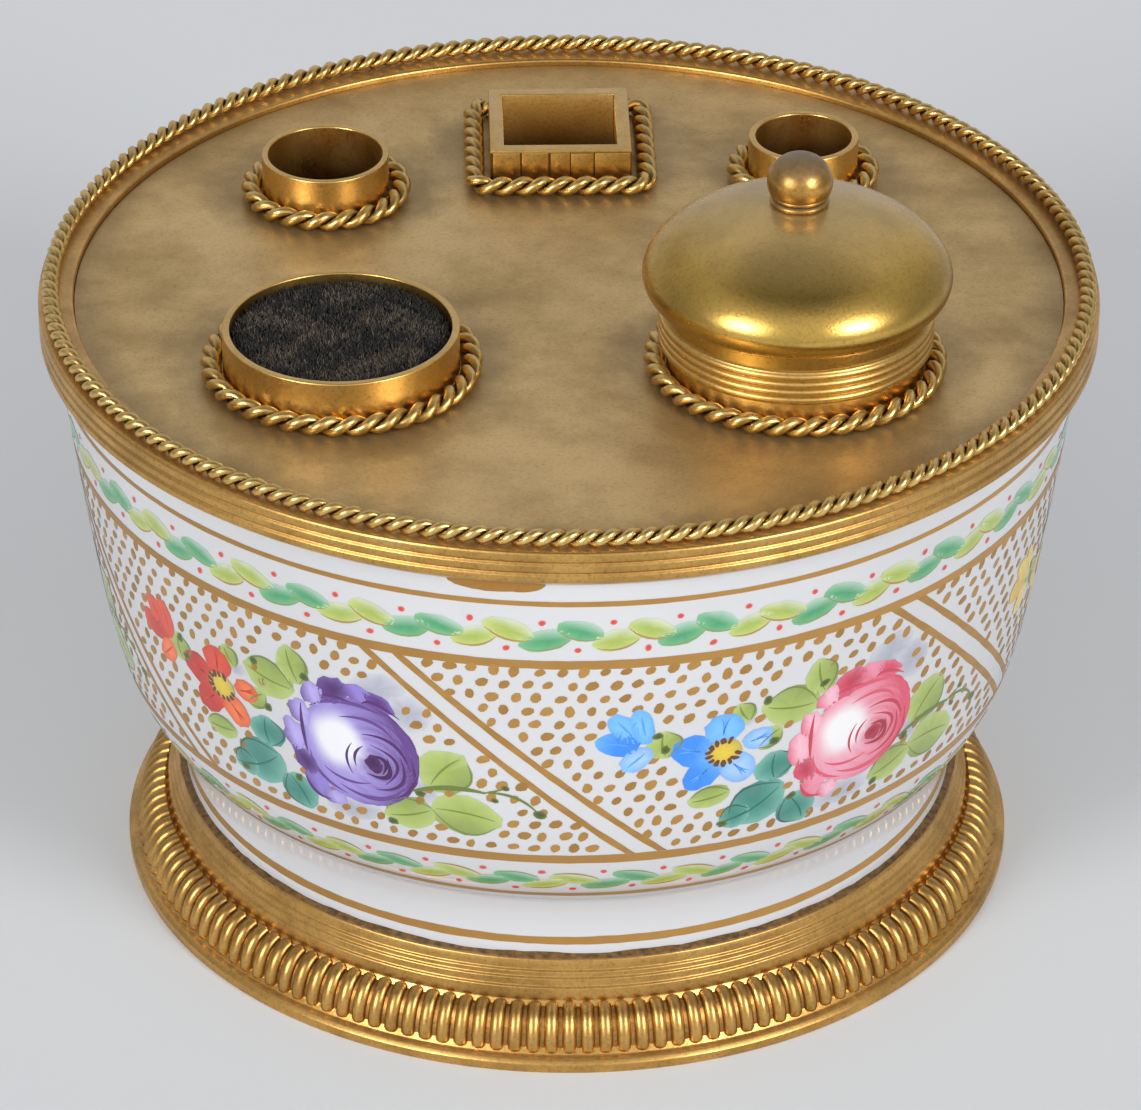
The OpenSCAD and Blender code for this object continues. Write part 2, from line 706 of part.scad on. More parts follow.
// Ring with turned beads that stands on the collar
module lid_ring() color(bright_gilt) at_well() {
    bead_h = 0.94 * lid_ring_h / lid_bead_count;
    bead_r = 0.42 * bead_h;
    turned(concat(
        [[sleeve_r, lid_z]],
        [
            for (i = [0 : lid_bead_count - 1])
                each arc([lid_ring_r - bead_r, lid_z + (i + 0.5) * bead_h], bead_r, bead_h / 2, -80, 80, 4)
        ],
        [
            [neck_r + 0.35, neck_z - 0.03 * lid_ring_h],
            [neck_r, neck_z],
            [sleeve_r, neck_z]
        ]
    ));
}

module lid_sleeve() color(dark_gilt) at_well()
    tube(sleeve_r, sleeve_r - sleeve_wall, lid_z - sleeve_depth, neck_z);

// Spun shell: neck, rounded underside and dome, with a flat land for the knob
module lid_dome() color(gilt) at_well() {
    land_r = knob_neck_r;
    steps = 18;
    under_z = neck_z + lid_neck_h;
    outer_under = [for (i = [4 : -1 : 1]) let (a = 90 * i / 5)
        [neck_r + dome_swell * cos(a), dome_z - dome_under_h * sin(a)]];
    inner_r = dome_r - dome_wall;
    inner_top = [for (i = [steps : -1 : 0]) dome_half(inner_r, dome_rise - dome_wall, land_r, steps)[i]];
    inner_under = [for (i = [1 : 4]) let (a = 90 * i / 5)
        [neck_r - dome_wall + dome_swell * cos(a), dome_z - dome_under_h * sin(a)]];
    turned(concat(
        [[neck_r - dome_wall, neck_z], [neck_r, neck_z], [neck_r, under_z]],
        outer_under,
        dome_half(dome_r, dome_rise, land_r, steps),
        [[knob_screw_r + seam, dome_half(dome_r, dome_rise, land_r, steps)[steps][1]]],
        [[knob_screw_r + seam, inner_top[0][1]]],
        inner_top,
        inner_under,
        [[neck_r - dome_wall, under_z]]
    ));
}

// Two rings and a ball, turned with the screw that goes through the dome
module lid_knob() color(dark_gilt) at_well() {
    ring_h = knob_neck_h / 2;
    ball_z = land_z + knob_neck_h + 0.25 * knob_ball_h;
    turned(concat(
        [
            [0, inner_land_z - lid_nut_t - 1],
            [knob_screw_r, inner_land_z - lid_nut_t - 1],
            [knob_screw_r, land_z]
        ],
        arc([knob_neck_r - ring_h / 2, land_z + ring_h / 2], ring_h / 2, ring_h / 2, -90, 90, 6),
        [[knob_neck_r - ring_h / 2 - 0.2, land_z + ring_h]],
        arc([knob_neck_r - ring_h / 2 - 0.1, land_z + 1.45 * ring_h], ring_h / 2, 0.4 * ring_h, -80, 80, 5),
        arc([0, ball_z], knob_r, 0.75 * knob_ball_h, -22, 90, 14)
    ));
}

module lid_nut() color(gilt) at_well()
    tube(lid_nut_r, knob_screw_r + seam, inner_land_z - lid_nut_t, inner_land_z - seam);

foot_ring();
gadroon_border();
base_plate();
tie_rod();
rod_washer();
rod_nut();
rod_boss();
plaster_bed();
porcelain_bowl();
rim_mount();
rim_rope();
top_plate();
left_pen_tube();
left_pen_floor();
left_pen_rope();
right_pen_tube();
right_pen_floor();
right_pen_rope();
wax_box();
wax_box_floor();
wax_box_rope();
wiper_cup();
wiper_floor();
wiper_rope();
wiper_block();
wiper_bristles();
inkwell_collar();
inkwell_rope();
ink_pot();
lid_dome();
lid_ring();
lid_sleeve();
lid_knob();
lid_nut();
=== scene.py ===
# %% [markdown]
# # A porcelain and gilt-bronze desk inkstand
#
# The real object is a painted porcelain bowl held between a gilt-bronze foot and a gilt-bronze
# rim. Its top plate carries two pen tubes, a square wax box, a pen wiper and a covered inkwell.
# The exact frame of the object is loaded first. Everything after that is surface: turned
# metal, twisted wire, bristles, glaze and painting, modelled in place around the frame.

# %% Load the frame
import math
import random

import bmesh
import bpy
from mathutils import Matrix, Vector


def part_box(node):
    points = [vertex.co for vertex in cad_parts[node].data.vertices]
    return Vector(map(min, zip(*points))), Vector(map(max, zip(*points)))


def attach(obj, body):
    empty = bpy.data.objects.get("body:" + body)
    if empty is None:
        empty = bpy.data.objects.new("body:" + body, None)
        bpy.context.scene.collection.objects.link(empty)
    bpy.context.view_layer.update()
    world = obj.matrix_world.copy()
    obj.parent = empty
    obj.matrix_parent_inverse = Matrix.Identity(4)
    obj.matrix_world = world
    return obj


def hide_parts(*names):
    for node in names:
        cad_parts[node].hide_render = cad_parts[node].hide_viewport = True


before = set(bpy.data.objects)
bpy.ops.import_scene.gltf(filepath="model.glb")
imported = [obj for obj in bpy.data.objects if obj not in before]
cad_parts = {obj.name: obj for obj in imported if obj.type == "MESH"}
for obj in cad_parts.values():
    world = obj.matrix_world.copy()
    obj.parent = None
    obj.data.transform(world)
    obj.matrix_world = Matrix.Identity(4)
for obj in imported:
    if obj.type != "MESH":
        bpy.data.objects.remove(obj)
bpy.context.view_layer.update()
MM = 0.001
dice = random.Random(7)

# %% [markdown]
# ## Places that every piece shares
#
# A maker would measure the finished frame before making trim for it. The same is done here:
# each height and radius is read from the box of the piece that has it, so the trim follows
# the frame when the frame changes. Lengths are kept in millimetres, as on a drawing.


# %% Measure the frame
def box_mm(node):
    """Lowest and highest corner of a frame piece, in millimetres."""
    low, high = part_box(node)
    return low / MM, high / MM


def middle_mm(node):
    """The x and y of the middle of a frame piece, in millimetres."""
    low, high = box_mm(node)
    return (low.x + high.x) / 2, (low.y + high.y) / 2


def radius_mm(node):
    """Half the width of a frame piece, in millimetres."""
    low, high = box_mm(node)
    return (high.x - low.x) / 2


PLATE_UNDER_Z, PLATE_Z = (corner.z for corner in box_mm("top_plate"))
SPIGOT_Z, LEDGE_Z = (corner.z for corner in box_mm("rim_mount"))
RIM_R = box_mm("rim_mount")[1].x
PLATE_R = box_mm("top_plate")[1].x
FOOT_R = box_mm("foot_ring")[1].x
FOOT_TOP_Z = box_mm("foot_ring")[1].z
BED_R = box_mm("plaster_bed")[1].x
BED_Z = box_mm("plaster_bed")[0].z
BOWL_TOP_Z = box_mm("porcelain_bowl")[1].z
LEFT_PEN = middle_mm("left_pen_tube")
RIGHT_PEN = middle_mm("right_pen_tube")
BOX = middle_mm("wax_box")
WIPER = middle_mm("wiper_cup")
WELL = middle_mm("inkwell_collar")
print(f"plate top {PLATE_Z:.1f} mm, ledge {LEDGE_Z:.1f} mm, rim radius {RIM_R:.1f} mm")

# %% [markdown]
# ## The camera
#
# The picture was taken with a long lens from the front, about 30 degrees above the table. The
# camera goes where a fit of the round outlines puts it: 818 mm from the middle of the bowl,
# and 1.6 degrees to the left of straight ahead.

# %% Place the camera
CAMERA_REACH_MM = 818.0
CAMERA_RISE = math.radians(30.36)
CAMERA_TURN = math.radians(1.6)
CAMERA_ROLL = math.radians(0.24)
FOCAL_PIXELS = 5663.0
PICTURE_W = 1141
ANCHOR_MM = Vector((0.0, 0.0, 60.0))
ANCHOR_PIXEL = Vector((568.0, 467.5))
PICTURE_MIDDLE = Vector((570.5, 555.0))

back = Vector((
    -math.sin(CAMERA_TURN) * math.cos(CAMERA_RISE),
    -math.cos(CAMERA_TURN) * math.cos(CAMERA_RISE),
    math.sin(CAMERA_RISE),
))
right = Vector((math.cos(CAMERA_TURN), -math.sin(CAMERA_TURN), 0.0))
up = back.cross(right)
off = (PICTURE_MIDDLE - ANCHOR_PIXEL) * CAMERA_REACH_MM / FOCAL_PIXELS
eye = (ANCHOR_MM + back * CAMERA_REACH_MM) * MM
aim = (ANCHOR_MM + right * off.x - up * off.y) * MM
camera_data = bpy.data.cameras.new("camera")
camera_data.sensor_width = 36.0
camera_data.lens = FOCAL_PIXELS / PICTURE_W * camera_data.sensor_width
camera = bpy.data.objects.new("camera", camera_data)
bpy.context.scene.collection.objects.link(camera)
look = (aim - eye).to_track_quat("-Z", "Y").to_matrix().to_4x4()
camera.matrix_world = Matrix.Translation(eye) @ look @ Matrix.Rotation(CAMERA_ROLL, 4, "Z")
bpy.context.scene.camera = camera
print(f"lens {camera_data.lens:.1f} mm")

# %% [markdown]
# ## Helpers for materials
#
# Colours are written as the hex values that a painter's chart or a photo editor shows. A
# renderer works with linear light, so one function turns a hex value into linear numbers. A
# second function adds a node to a material and joins it up, which keeps each recipe short.


# %% Colour and node helpers
def linear(hex_colour):
    """Linear RGBA of an sRGB hex colour such as c6a979."""
    channels = [int(hex_colour[i:i + 2], 16) / 255 for i in (0, 2, 4)]
    return [c / 12.92 if c <= 0.04045 else ((c + 0.055) / 1.055) ** 2.4 for c in channels] + [1.0]


def add(tree, kind, inputs=None, result=0, **settings):
    """Adds a node and returns its result socket. inputs maps a socket's name or number to a value or a socket."""
    made = tree.nodes.new("ShaderNode" + kind)
    for key, value in settings.items():
        setattr(made, key, value)
    for key, value in (inputs or {}).items():
        if isinstance(value, bpy.types.NodeSocket):
            tree.links.new(value, made.inputs[key])
        else:
            made.inputs[key].default_value = value
    return made.outputs[result]


# The colour sockets of a Mix node, which share their names with its other sockets
MIX_A, MIX_B, MIX_OUT = 6, 7, 2


def new_material(name):
    """An empty material, its node tree, the place on the object, and the socket that takes the shader."""
    material = bpy.data.materials.new(name)
    material.use_nodes = True
    tree = material.node_tree
    tree.nodes.clear()
    surface = tree.nodes.new("ShaderNodeOutputMaterial").inputs["Surface"]
    return material, tree, add(tree, "TexCoord", result="Object"), surface


def per_mm(size):
    """Noise scale whose features are about this many millimetres across."""
    return 1 / (size * MM)


# %% [markdown]
# ## Gilt bronze
#
# The mounts are cast or spun bronze with a thin layer of fire gilding. A hundred years of
# handling leaves it in several states: bright on the twisted wires, satin on the lid, and dull
# and speckled brown on the flat plate. One recipe makes them all. A cloudy noise leads from
# gold to brown and small dark specks are added. A "crevice" value that some meshes carry
# darkens their crevices and hollows: that is painted shade. Halos round given places and a ring
# near an edge are darkened too, with painted shade mixed with grime. Grey dust settles on what
# faces up: there the metal gives way to a dull film.


# %% Gilt bronze recipe
SHADE_AND_GRIME = 0.42


def gilt_bronze(name, gold, brown, hollow, roughness, cloud_mm, cloud=0.5, speck=0.35, grain=0.04,
                haze=0.0, dust="8f836c", settle=0.80, halos=(), edge_r=None):
    """Aged gilt bronze. gold, brown and hollow are hex colours; hollow is laid on the specks and, as painted shade,
    in crevices. Dust lies where the normal's upward part is over settle. halos are places with painted shade and
    grime round them, each as x, y and reach in millimetres, and edge_r is the radius of an edge darkened by painted
    shade and grime."""
    material, tree, place, surface = new_material(name)
    clouds = add(tree, "TexNoise", {"Vector": place, "Scale": per_mm(cloud_mm), "Detail": 6.0, "Roughness": 0.62})
    specks = add(tree, "TexNoise", {"Vector": place, "Scale": per_mm(0.5), "Detail": 4.0, "Roughness": 0.7})
    # Masks with the colour that each lays over the gold
    layers = [
        (add(tree, "MapRange", {"Value": clouds, "From Min": 0.38, "From Max": 0.68, "To Max": cloud}), brown),
        (add(tree, "MapRange", {"Value": specks, "From Min": 0.50, "From Max": 0.80, "To Max": speck}), hollow),
        # Painted shade: the crevice value leads to the hollow colour
        (add(tree, "Attribute", result="Fac", attribute_name="crevice"), hollow),
    ]
    flat = add(tree, "VectorMath", {0: place, 1: (1, 1, 0)}, operation="MULTIPLY")
    # Halos of painted shade, mixed with grime, round the foot of each given place
    for x, y, reach in halos:
        apart = add(tree, "VectorMath", {0: flat, 1: (x * MM, y * MM, 0)}, "Value", operation="DISTANCE")
        ragged = add(tree, "Math", {0: clouds, 1: -9 * MM, 2: apart}, operation="MULTIPLY_ADD")
        layers.append((add(tree, "MapRange", {"Value": ragged, "From Min": (reach - 5) * MM, "From Max": reach * MM,
                                              "To Min": SHADE_AND_GRIME, "To Max": 0.0}), hollow))
    # A ring of painted shade, mixed with grime, along the foot of the rim's step
    if edge_r:
        from_axis = add(tree, "VectorMath", {0: flat}, "Value", operation="LENGTH")
        ragged = add(tree, "Math", {0: clouds, 1: 5 * MM, 2: from_axis}, operation="MULTIPLY_ADD")
        layers.append((add(tree, "MapRange", {"Value": ragged, "From Min": (edge_r - 2.5) * MM,
                                              "From Max": (edge_r + 2.5) * MM, "To Max": SHADE_AND_GRIME}), hollow))
    upward = add(tree, "SeparateXYZ", {0: add(tree, "NewGeometry", result="Normal")}, "Z")
    settled = add(tree, "MapRange", {"Value": upward, "From Min": settle, "From Max": 0.99, "To Max": haze})
    tint = linear(gold)
    for mask, colour in layers + [(settled, dust)]:
        tint = add(tree, "Mix", {0: mask, MIX_A: tint, MIX_B: linear(colour)}, MIX_OUT, data_type="RGBA")
    metallic = add(tree, "Math", {0: 1.0, 1: settled}, operation="SUBTRACT")
    rough = add(tree, "MapRange", {"Value": clouds, "From Min": 0.3, "From Max": 0.7, "To Min": roughness - 0.05,
                                   "To Max": roughness + 0.1})
    grit = add(tree, "TexNoise", {"Vector": place, "Scale": per_mm(0.45), "Detail": 4.0, "Roughness": 0.6})
    bump = add(tree, "Bump", {"Height": grit, "Strength": grain * 5, "Distance": 0.1 * MM})
    shader = add(tree, "BsdfPrincipled", {"Base Color": tint, "Metallic": metallic, "Roughness": rough,
                                          "Normal": bump})
    tree.links.new(shader, surface)
    return material


# Each fitting gets a halo of painted shade and grime on the plate: x, y and reach in millimetres
FITTINGS = [(*LEFT_PEN, 14.5), (*RIGHT_PEN, 13.5), (*BOX, 17.5), (*WIPER, 21.5), (*WELL, 23.0)]
GILT_CAST = gilt_bronze("gilt_bronze_cast", "e6bc6e", "b7914a", "3a2911", 0.30, cloud_mm=7.0, speck=0.5,
                        haze=0.42, dust="84704c")
# A darker copy of the cast gilt for the foot, its ribs and the rim band: painted shade on the lower mounts
GILT_MOUNT = gilt_bronze("gilt_bronze_mount_painted_shade", "dbac62", "9c763e", "33240f", 0.31, cloud_mm=7.0, cloud=0.6,
                         speck=0.55, haze=0.35, dust="7d6440")
GILT_WIRE = gilt_bronze("gilt_bronze_wire", "eac57a", "bc9856", "2e200c", 0.27, cloud_mm=6.0, speck=0.4,
                        haze=0.45, dust="84704c")
GILT_PLATE = gilt_bronze("gilt_bronze_matt_sheet", "ddba7b", "b08f54", "6b5733", 0.44, cloud_mm=12.0, cloud=0.8,
                         speck=0.55, grain=0.07, haze=0.26, dust="9c8c70", halos=FITTINGS, edge_r=69.5)
GILT_LID = gilt_bronze("gilt_bronze_satin", "d4ae5a", "987a3c", "40300f", 0.27, cloud_mm=10.0, cloud=0.6,
                       speck=0.45, haze=0.5)
GILT_KNOB = gilt_bronze("gilt_bronze_handled", "d0a054", "80602e", "2c210e", 0.32, cloud_mm=3.0, cloud=0.8,
                        speck=0.6, haze=0.9, dust="5f5240", settle=0.3)
# Dark brown gilt: the box's joints, and painted shade on the tube floors and on the box's flange
GILT_DARK = gilt_bronze("gilt_bronze_dark_brown_and_shade", "8f7040", "5a4422", "1d130a", 0.38, cloud_mm=5.0, cloud=0.8)
# A darker gilt for the ground between the ribs: painted shade in the grooves
GILT_GROUND = gilt_bronze("gilt_bronze_rib_ground_shaded", "b98d50", "8a6232", "2e200c", 0.42, cloud_mm=2.0,
                          cloud=0.8, speck=0.8)
print("gilt materials made")

# %% [markdown]
# ## Porcelain, enamel and gold
#
# Hard-paste porcelain is a white, slightly translucent body under a clear feldspar glaze. The
# glaze is smooth glass, so it reflects sharply, and the white beneath is a little cool. The
# flowers are enamels, fired on the glaze at a low heat: they shine nearly like the glaze. The
# lines and dots are burnished gold, softer and only half metallic. Enamel and gold take their
# colour from a value called "paint" that each touch of the brush carries at its corners.


# %% Glaze and paint recipes
def glazed_porcelain(name, white, shade):
    """White porcelain under a clear glaze, with a faint unevenness of tone."""
    material, tree, place, surface = new_material(name)
    clouds = add(tree, "TexNoise", {"Vector": place, "Scale": per_mm(18), "Detail": 3.0})
    colour = add(tree, "Mix", {0: clouds, MIX_A: linear(white), MIX_B: linear(shade)}, MIX_OUT, data_type="RGBA")
    ripple = add(tree, "TexNoise", {"Vector": place, "Scale": per_mm(7), "Detail": 2.0})
    bump = add(tree, "Bump", {"Height": ripple, "Strength": 0.06, "Distance": 0.2 * MM})
    shader = add(tree, "BsdfPrincipled", {"Base Color": colour, "Roughness": 0.08, "IOR": 1.5, "Normal": bump,
                                          "Subsurface Weight": 0.08, "Subsurface Scale": 1.5 * MM})
    tree.links.new(shader, surface)
    return material


def overglaze(name, roughness, metallic):
    """Paint fired on the glaze, coloured by the paint value of its mesh."""
    material, tree, _, surface = new_material(name)
    paint = add(tree, "Attribute", result="Color", attribute_name="paint")
    shader = add(tree, "BsdfPrincipled", {"Base Color": paint, "Metallic": metallic, "Roughness": roughness,
                                          "IOR": 1.5})
    tree.links.new(shader, surface)
    return material


PORCELAIN = glazed_porcelain("hard_paste_porcelain_glazed", "cfcfd1", "c8c8ca")
POT_GLAZE = glazed_porcelain("ink_pot_glaze", "efeeea", "e3e1da")
ENAMEL = overglaze("overglaze_enamel", 0.14, 0.0)
FIRED_GOLD = overglaze("overglaze_gold", 0.36, 0.35)

# %% [markdown]
# ## Plaster, steel, wood and bristle
#
# These show little. The plaster round the foot is nearly black with grime, the tie rod and its
# nut are plain steel, the brush's block is stained beech and its bristles are black hog hair.


# %% The lesser materials
def mottled(name, light, dark, size_mm, roughness, metallic=0.0, depth=0.3):
    """A plain material whose colour wanders between two tones, with a matching bump."""
    material, tree, place, surface = new_material(name)
    clouds = add(tree, "TexNoise", {"Vector": place, "Scale": per_mm(size_mm), "Detail": 5.0})
    mask = add(tree, "MapRange", {"Value": clouds, "From Min": 0.35, "From Max": 0.65})
    colour = add(tree, "Mix", {0: mask, MIX_A: linear(light), MIX_B: linear(dark)}, MIX_OUT, data_type="RGBA")
    bump = add(tree, "Bump", {"Height": clouds, "Strength": depth, "Distance": 0.2 * MM})
    shader = add(tree, "BsdfPrincipled", {"Base Color": colour, "Metallic": metallic, "Roughness": roughness,
                                          "Normal": bump})
    tree.links.new(shader, surface)
    return material


GRIME = mottled("rusty_grime", "7c5828", "43320f", 0.9, 0.5, depth=0.4)
PLASTER = mottled("setting_plaster_grimy", "6b5334", "1d140b", 2.0, 0.7, depth=0.8)
STEEL = mottled("steel_turned", "8e8f92", "77787b", 3.0, 0.35, metallic=1.0, depth=0.1)
BEECH = mottled("beech_stained", "7a5633", "573a20", 4.0, 0.6)
HAIR = mottled("hog_bristle_black", "231f1d", "0c0b0b", 1.4, 0.5)
PALE_HAIR = mottled("hog_bristle_dusty", "857560", "4c4032", 1.4, 0.6)

# %% [markdown]
# ## Turned metal
#
# Foot, rim, tubes, collar and lid are turned on a lathe or spun over a chuck. The spin
# operator does the same: half an outline is swept round an axis. A cast or turned edge is never
# a knife edge, so each corner of the outline is first softened into a small curve.


# %% Lathe helpers
def soften(points, cut, steps=3):
    """The closed outline with each corner drawn into a small curve that starts cut away from it."""
    out = []
    count = len(points)
    for i, point in enumerate(points):
        here = Vector(point)
        before = Vector(points[i - 1]) - here
        after = Vector(points[(i + 1) % count]) - here
        bend = before.angle(after, math.pi)
        reach = min(cut, before.length * 0.42, after.length * 0.42)
        if here.x < 1e-6 or bend > math.radians(160):
            out.append((here.x, here.y))
            continue
        start = here + before.normalized() * reach
        end = here + after.normalized() * reach
        for k in range(steps + 1):
            t = k / steps
            mixed = start * (1 - t) ** 2 + here * 2 * t * (1 - t) + end * t ** 2
            out.append((mixed.x, mixed.y))
    return out


def cleaned(bm):
    """The bmesh with doubled points merged and its faces turned outward."""
    bmesh.ops.remove_doubles(bm, verts=bm.verts, dist=0.002 * MM)
    bmesh.ops.dissolve_degenerate(bm, edges=bm.edges, dist=0.001 * MM)
    bmesh.ops.recalc_face_normals(bm, faces=bm.faces)
    return bm


def turned(points, centre=(0.0, 0.0), steps=160):
    """A bmesh of the closed outline of (radius, height) points, in millimetres, spun round centre."""
    bm = bmesh.new()
    ring = [bm.verts.new(((centre[0] + r) * MM, centre[1] * MM, z * MM)) for r, z in points]
    edges = [bm.edges.new((a, b)) for a, b in zip(ring, ring[1:] + ring[:1])]
    bmesh.ops.spin(bm, geom=ring + edges, cent=(centre[0] * MM, centre[1] * MM, 0), axis=(0, 0, 1),
                   angle=2 * math.pi, steps=steps, use_merge=True)
    return cleaned(bm)


def loft(rows):
    """A bmesh of a closed tube through closed rows of points, in millimetres, joined last to first."""
    bm = bmesh.new()
    made = [[bm.verts.new(Vector(point) * MM) for point in row] for row in rows]
    for near, far in zip(made, made[1:] + made[:1]):
        for i in range(len(near)):
            j = (i + 1) % len(near)
            bm.faces.new((near[i], near[j], far[j], far[i]))
    return cleaned(bm)


def block(bm, middle, size):
    """Adds a block, by its middle and size in millimetres, and returns its corners."""
    corners = bmesh.ops.create_cube(bm, size=1.0)["verts"]
    bmesh.ops.scale(bm, vec=Vector(size) * MM, verts=corners)
    bmesh.ops.translate(bm, vec=Vector(middle) * MM, verts=corners)
    return corners


def arc(middle, rx, ry, first, last, steps):
    """Points of an arc of an ellipse, with its angles in degrees."""
    turns = [math.radians(first + (last - first) * i / steps) for i in range(steps + 1)]
    return [(middle[0] + rx * math.cos(a), middle[1] + ry * math.sin(a)) for a in turns]


def add_piece(name, bm, body, material, slot, stands_for=(), sharp=38):
    """Makes a piece from a bmesh, shades it smooth with creases, and lets it ride on a body."""
    mesh = bpy.data.meshes.new(name)
    bm.to_mesh(mesh)
    bm.free()
    mesh.shade_smooth()
    mesh.set_sharp_from_angle(angle=math.radians(sharp))
    mesh.materials.append(material)
    piece = bpy.data.objects.new(name, mesh)
    bpy.context.scene.collection.objects.link(piece)
    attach(piece, body)
    if stands_for:
        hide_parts(*stands_for)
    print(f"{name}: {len(mesh.polygons)} faces")


# %% [markdown]
# ## The foot
#
# The foot is a hollow casting: a plain plinth, a border of ribs, and a moulding of three small
# steps that climbs to the porcelain. The ribs come next, so the turned part only leaves their
# seat bare.

# %% Foot ring
PLINTH_H, PLINTH_LEDGE = 1.9, 1.2
RIBS_H, RIBS_DEPTH = 6.5, 4.9
SEAT_R = FOOT_R - PLINTH_LEDGE - RIBS_DEPTH
RIBS_TOP_Z = PLINTH_H + RIBS_H
FOOT_WALL, WEB_BORE_R = 2.4, 51.5
step_h = (FOOT_TOP_Z - RIBS_TOP_Z) / 6
step_w = 0.4
# Steps of the moulding: how far each corner lies inside the seat and above the ribs
MOULDING = ((0, 1.8), (1, 2.0), (1, 3.2), (2, 3.4), (2, 4.2), (3, 4.4), (3, 5.2), (3.6, 6))
foot_outline = (
    [(FOOT_R - FOOT_WALL, 0.0), (FOOT_R, 0.0), (FOOT_R, PLINTH_H - 0.6), (FOOT_R - 0.6, PLINTH_H),
     (SEAT_R + 4.6, PLINTH_H), (SEAT_R, RIBS_TOP_Z - 0.3)]
    + [(SEAT_R - inside * step_w, RIBS_TOP_Z + above * step_h) for inside, above in MOULDING]
    + [(BED_R, FOOT_TOP_Z), (BED_R, BED_Z), (WEB_BORE_R, BED_Z), (WEB_BORE_R, BED_Z - FOOT_WALL),
       (SEAT_R - FOOT_WALL, BED_Z - FOOT_WALL), (SEAT_R - FOOT_WALL, PLINTH_H)]
)
add_piece("foot_casting", turned(soften(foot_outline, 0.16), steps=224), "stand", GILT_MOUNT, "gilt_bronze",
          ["foot_ring"])

# %% [markdown]
# ## The ribbed border
#
# Each of the 154 ribs is a rounded bar that follows a quarter circle down the border, with round
# ends. One rib starts as a sphere, is stretched to a bar and bent to the quarter circle, and
# loses the half that is sunk in the casting. The spin operator then repeats it round the foot.
# Each vertex gets a crevice value: painted shade in the grooves between the ribs, and painted
# shade over the ribs' upper half, standing in for the dark they reflect there.

# %% Ribs
RIB_COUNT, RIB_HALF_W, RIB_PROUD, RIB_CAP = 154, 1.02, 0.90, 0.16


def one_rib():
    """One rib at the side of the border, as a bmesh that is open underneath."""
    bm = bmesh.new()
    bmesh.ops.create_uvsphere(bm, u_segments=12, v_segments=12, radius=1.0)
    sunk = []
    for vert in bm.verts:
        climb = math.degrees(math.asin(max(-1.0, min(1.0, vert.co.z))))
        girth = math.hypot(vert.co.x, vert.co.y)
        side, out = (vert.co.x / girth, vert.co.y / girth) if girth > 1e-4 else (0.0, 0.0)
        if out < -0.1:
            sunk.append(vert)
        cap_turn = math.radians(max(0.0, abs(climb) - 45) * 2)
        along = (1 - RIB_CAP) * min(1.0, abs(climb) / 45) + RIB_CAP * math.sin(cap_turn)
        full = math.cos(cap_turn)
        angle = math.radians(45 + 44 * math.copysign(along, climb))
        depth = RIBS_DEPTH - RIB_PROUD * (1 - full * max(0.0, out))
        height = RIBS_H - RIB_PROUD * (1 - full * max(0.0, out))
        vert.co = Vector((
            (SEAT_R + depth * math.cos(angle)) * MM,
            RIB_HALF_W * full * side * MM,
            (PLINTH_H + height * math.sin(angle)) * MM,
        ))
    bmesh.ops.delete(bm, geom=sunk, context="VERTS")
    bmesh.ops.recalc_face_normals(bm, faces=bm.faces)
    return bm


ribs = one_rib()
step_turn = 2 * math.pi / RIB_COUNT
bmesh.ops.spin(ribs, geom=ribs.verts[:] + ribs.edges[:] + ribs.faces[:], cent=(0, 0, 0), axis=(0, 0, 1),
               angle=2 * math.pi - step_turn, steps=RIB_COUNT - 1, use_duplicate=True)
for face in ribs.faces:
    if face.normal.dot(face.calc_center_median() - Vector((0, 0, PLINTH_H * MM))) < 0:
        face.normal_flip()
crevice = ribs.verts.layers.float.new("crevice")
# Painted shade: darker toward the grooves, and over each rib's upper half
for vert in ribs.verts:
    spot = vert.co / MM
    turn = math.atan2(spot.y, spot.x) / step_turn
    from_middle = abs(turn - round(turn)) * 2
    upper_shade = max(0.0, (spot.z - PLINTH_H) / RIBS_H - 0.45)
    vert[crevice] = min(1.0, max(0.0, from_middle - 0.55) + 0.6 * upper_shade)
add_piece("foot_ribs", ribs, "stand", GILT_MOUNT, "bright_gilt", ["gadroon_border"], sharp=60)

GROUND_SUNK, GROUND_IN_R = 0.9, SEAT_R - 0.4
ground_outline = (
    [(GROUND_IN_R, PLINTH_H)] + arc((SEAT_R, PLINTH_H), RIBS_DEPTH - GROUND_SUNK, RIBS_H - GROUND_SUNK, 0, 90, 10)
    + [(GROUND_IN_R, RIBS_TOP_Z - GROUND_SUNK)]
)
# The ground's darker gilt is painted shade between the ribs
add_piece("rib_ground", turned(ground_outline), "stand", GILT_GROUND, "dark_gilt")

# %% [markdown]
# ## The rim
#
# The rim is a turned ring with two grooves on its band. It laps over the porcelain and leaves a
# flat ledge round the plate. The ledge's edges are polished round, and they catch the light.

# %% Rim mount
LIP_Z = BOWL_TOP_Z - 1.8
LIP_BORE_R = RIM_R - 1.75
BAND_H = LEDGE_Z - LIP_Z
GROOVE, LEDGE_ROUND, REBATE_ROUND, PLATE_GAP = 0.35, 0.6, 0.5, 0.1
SPIGOT_R, SPIGOT_BORE_R = 68.4, 66.9


def groove(z):
    """Three outline points of a groove in the band at height z."""
    return [(RIM_R, z - GROOVE), (RIM_R - GROOVE, z), (RIM_R, z + GROOVE)]


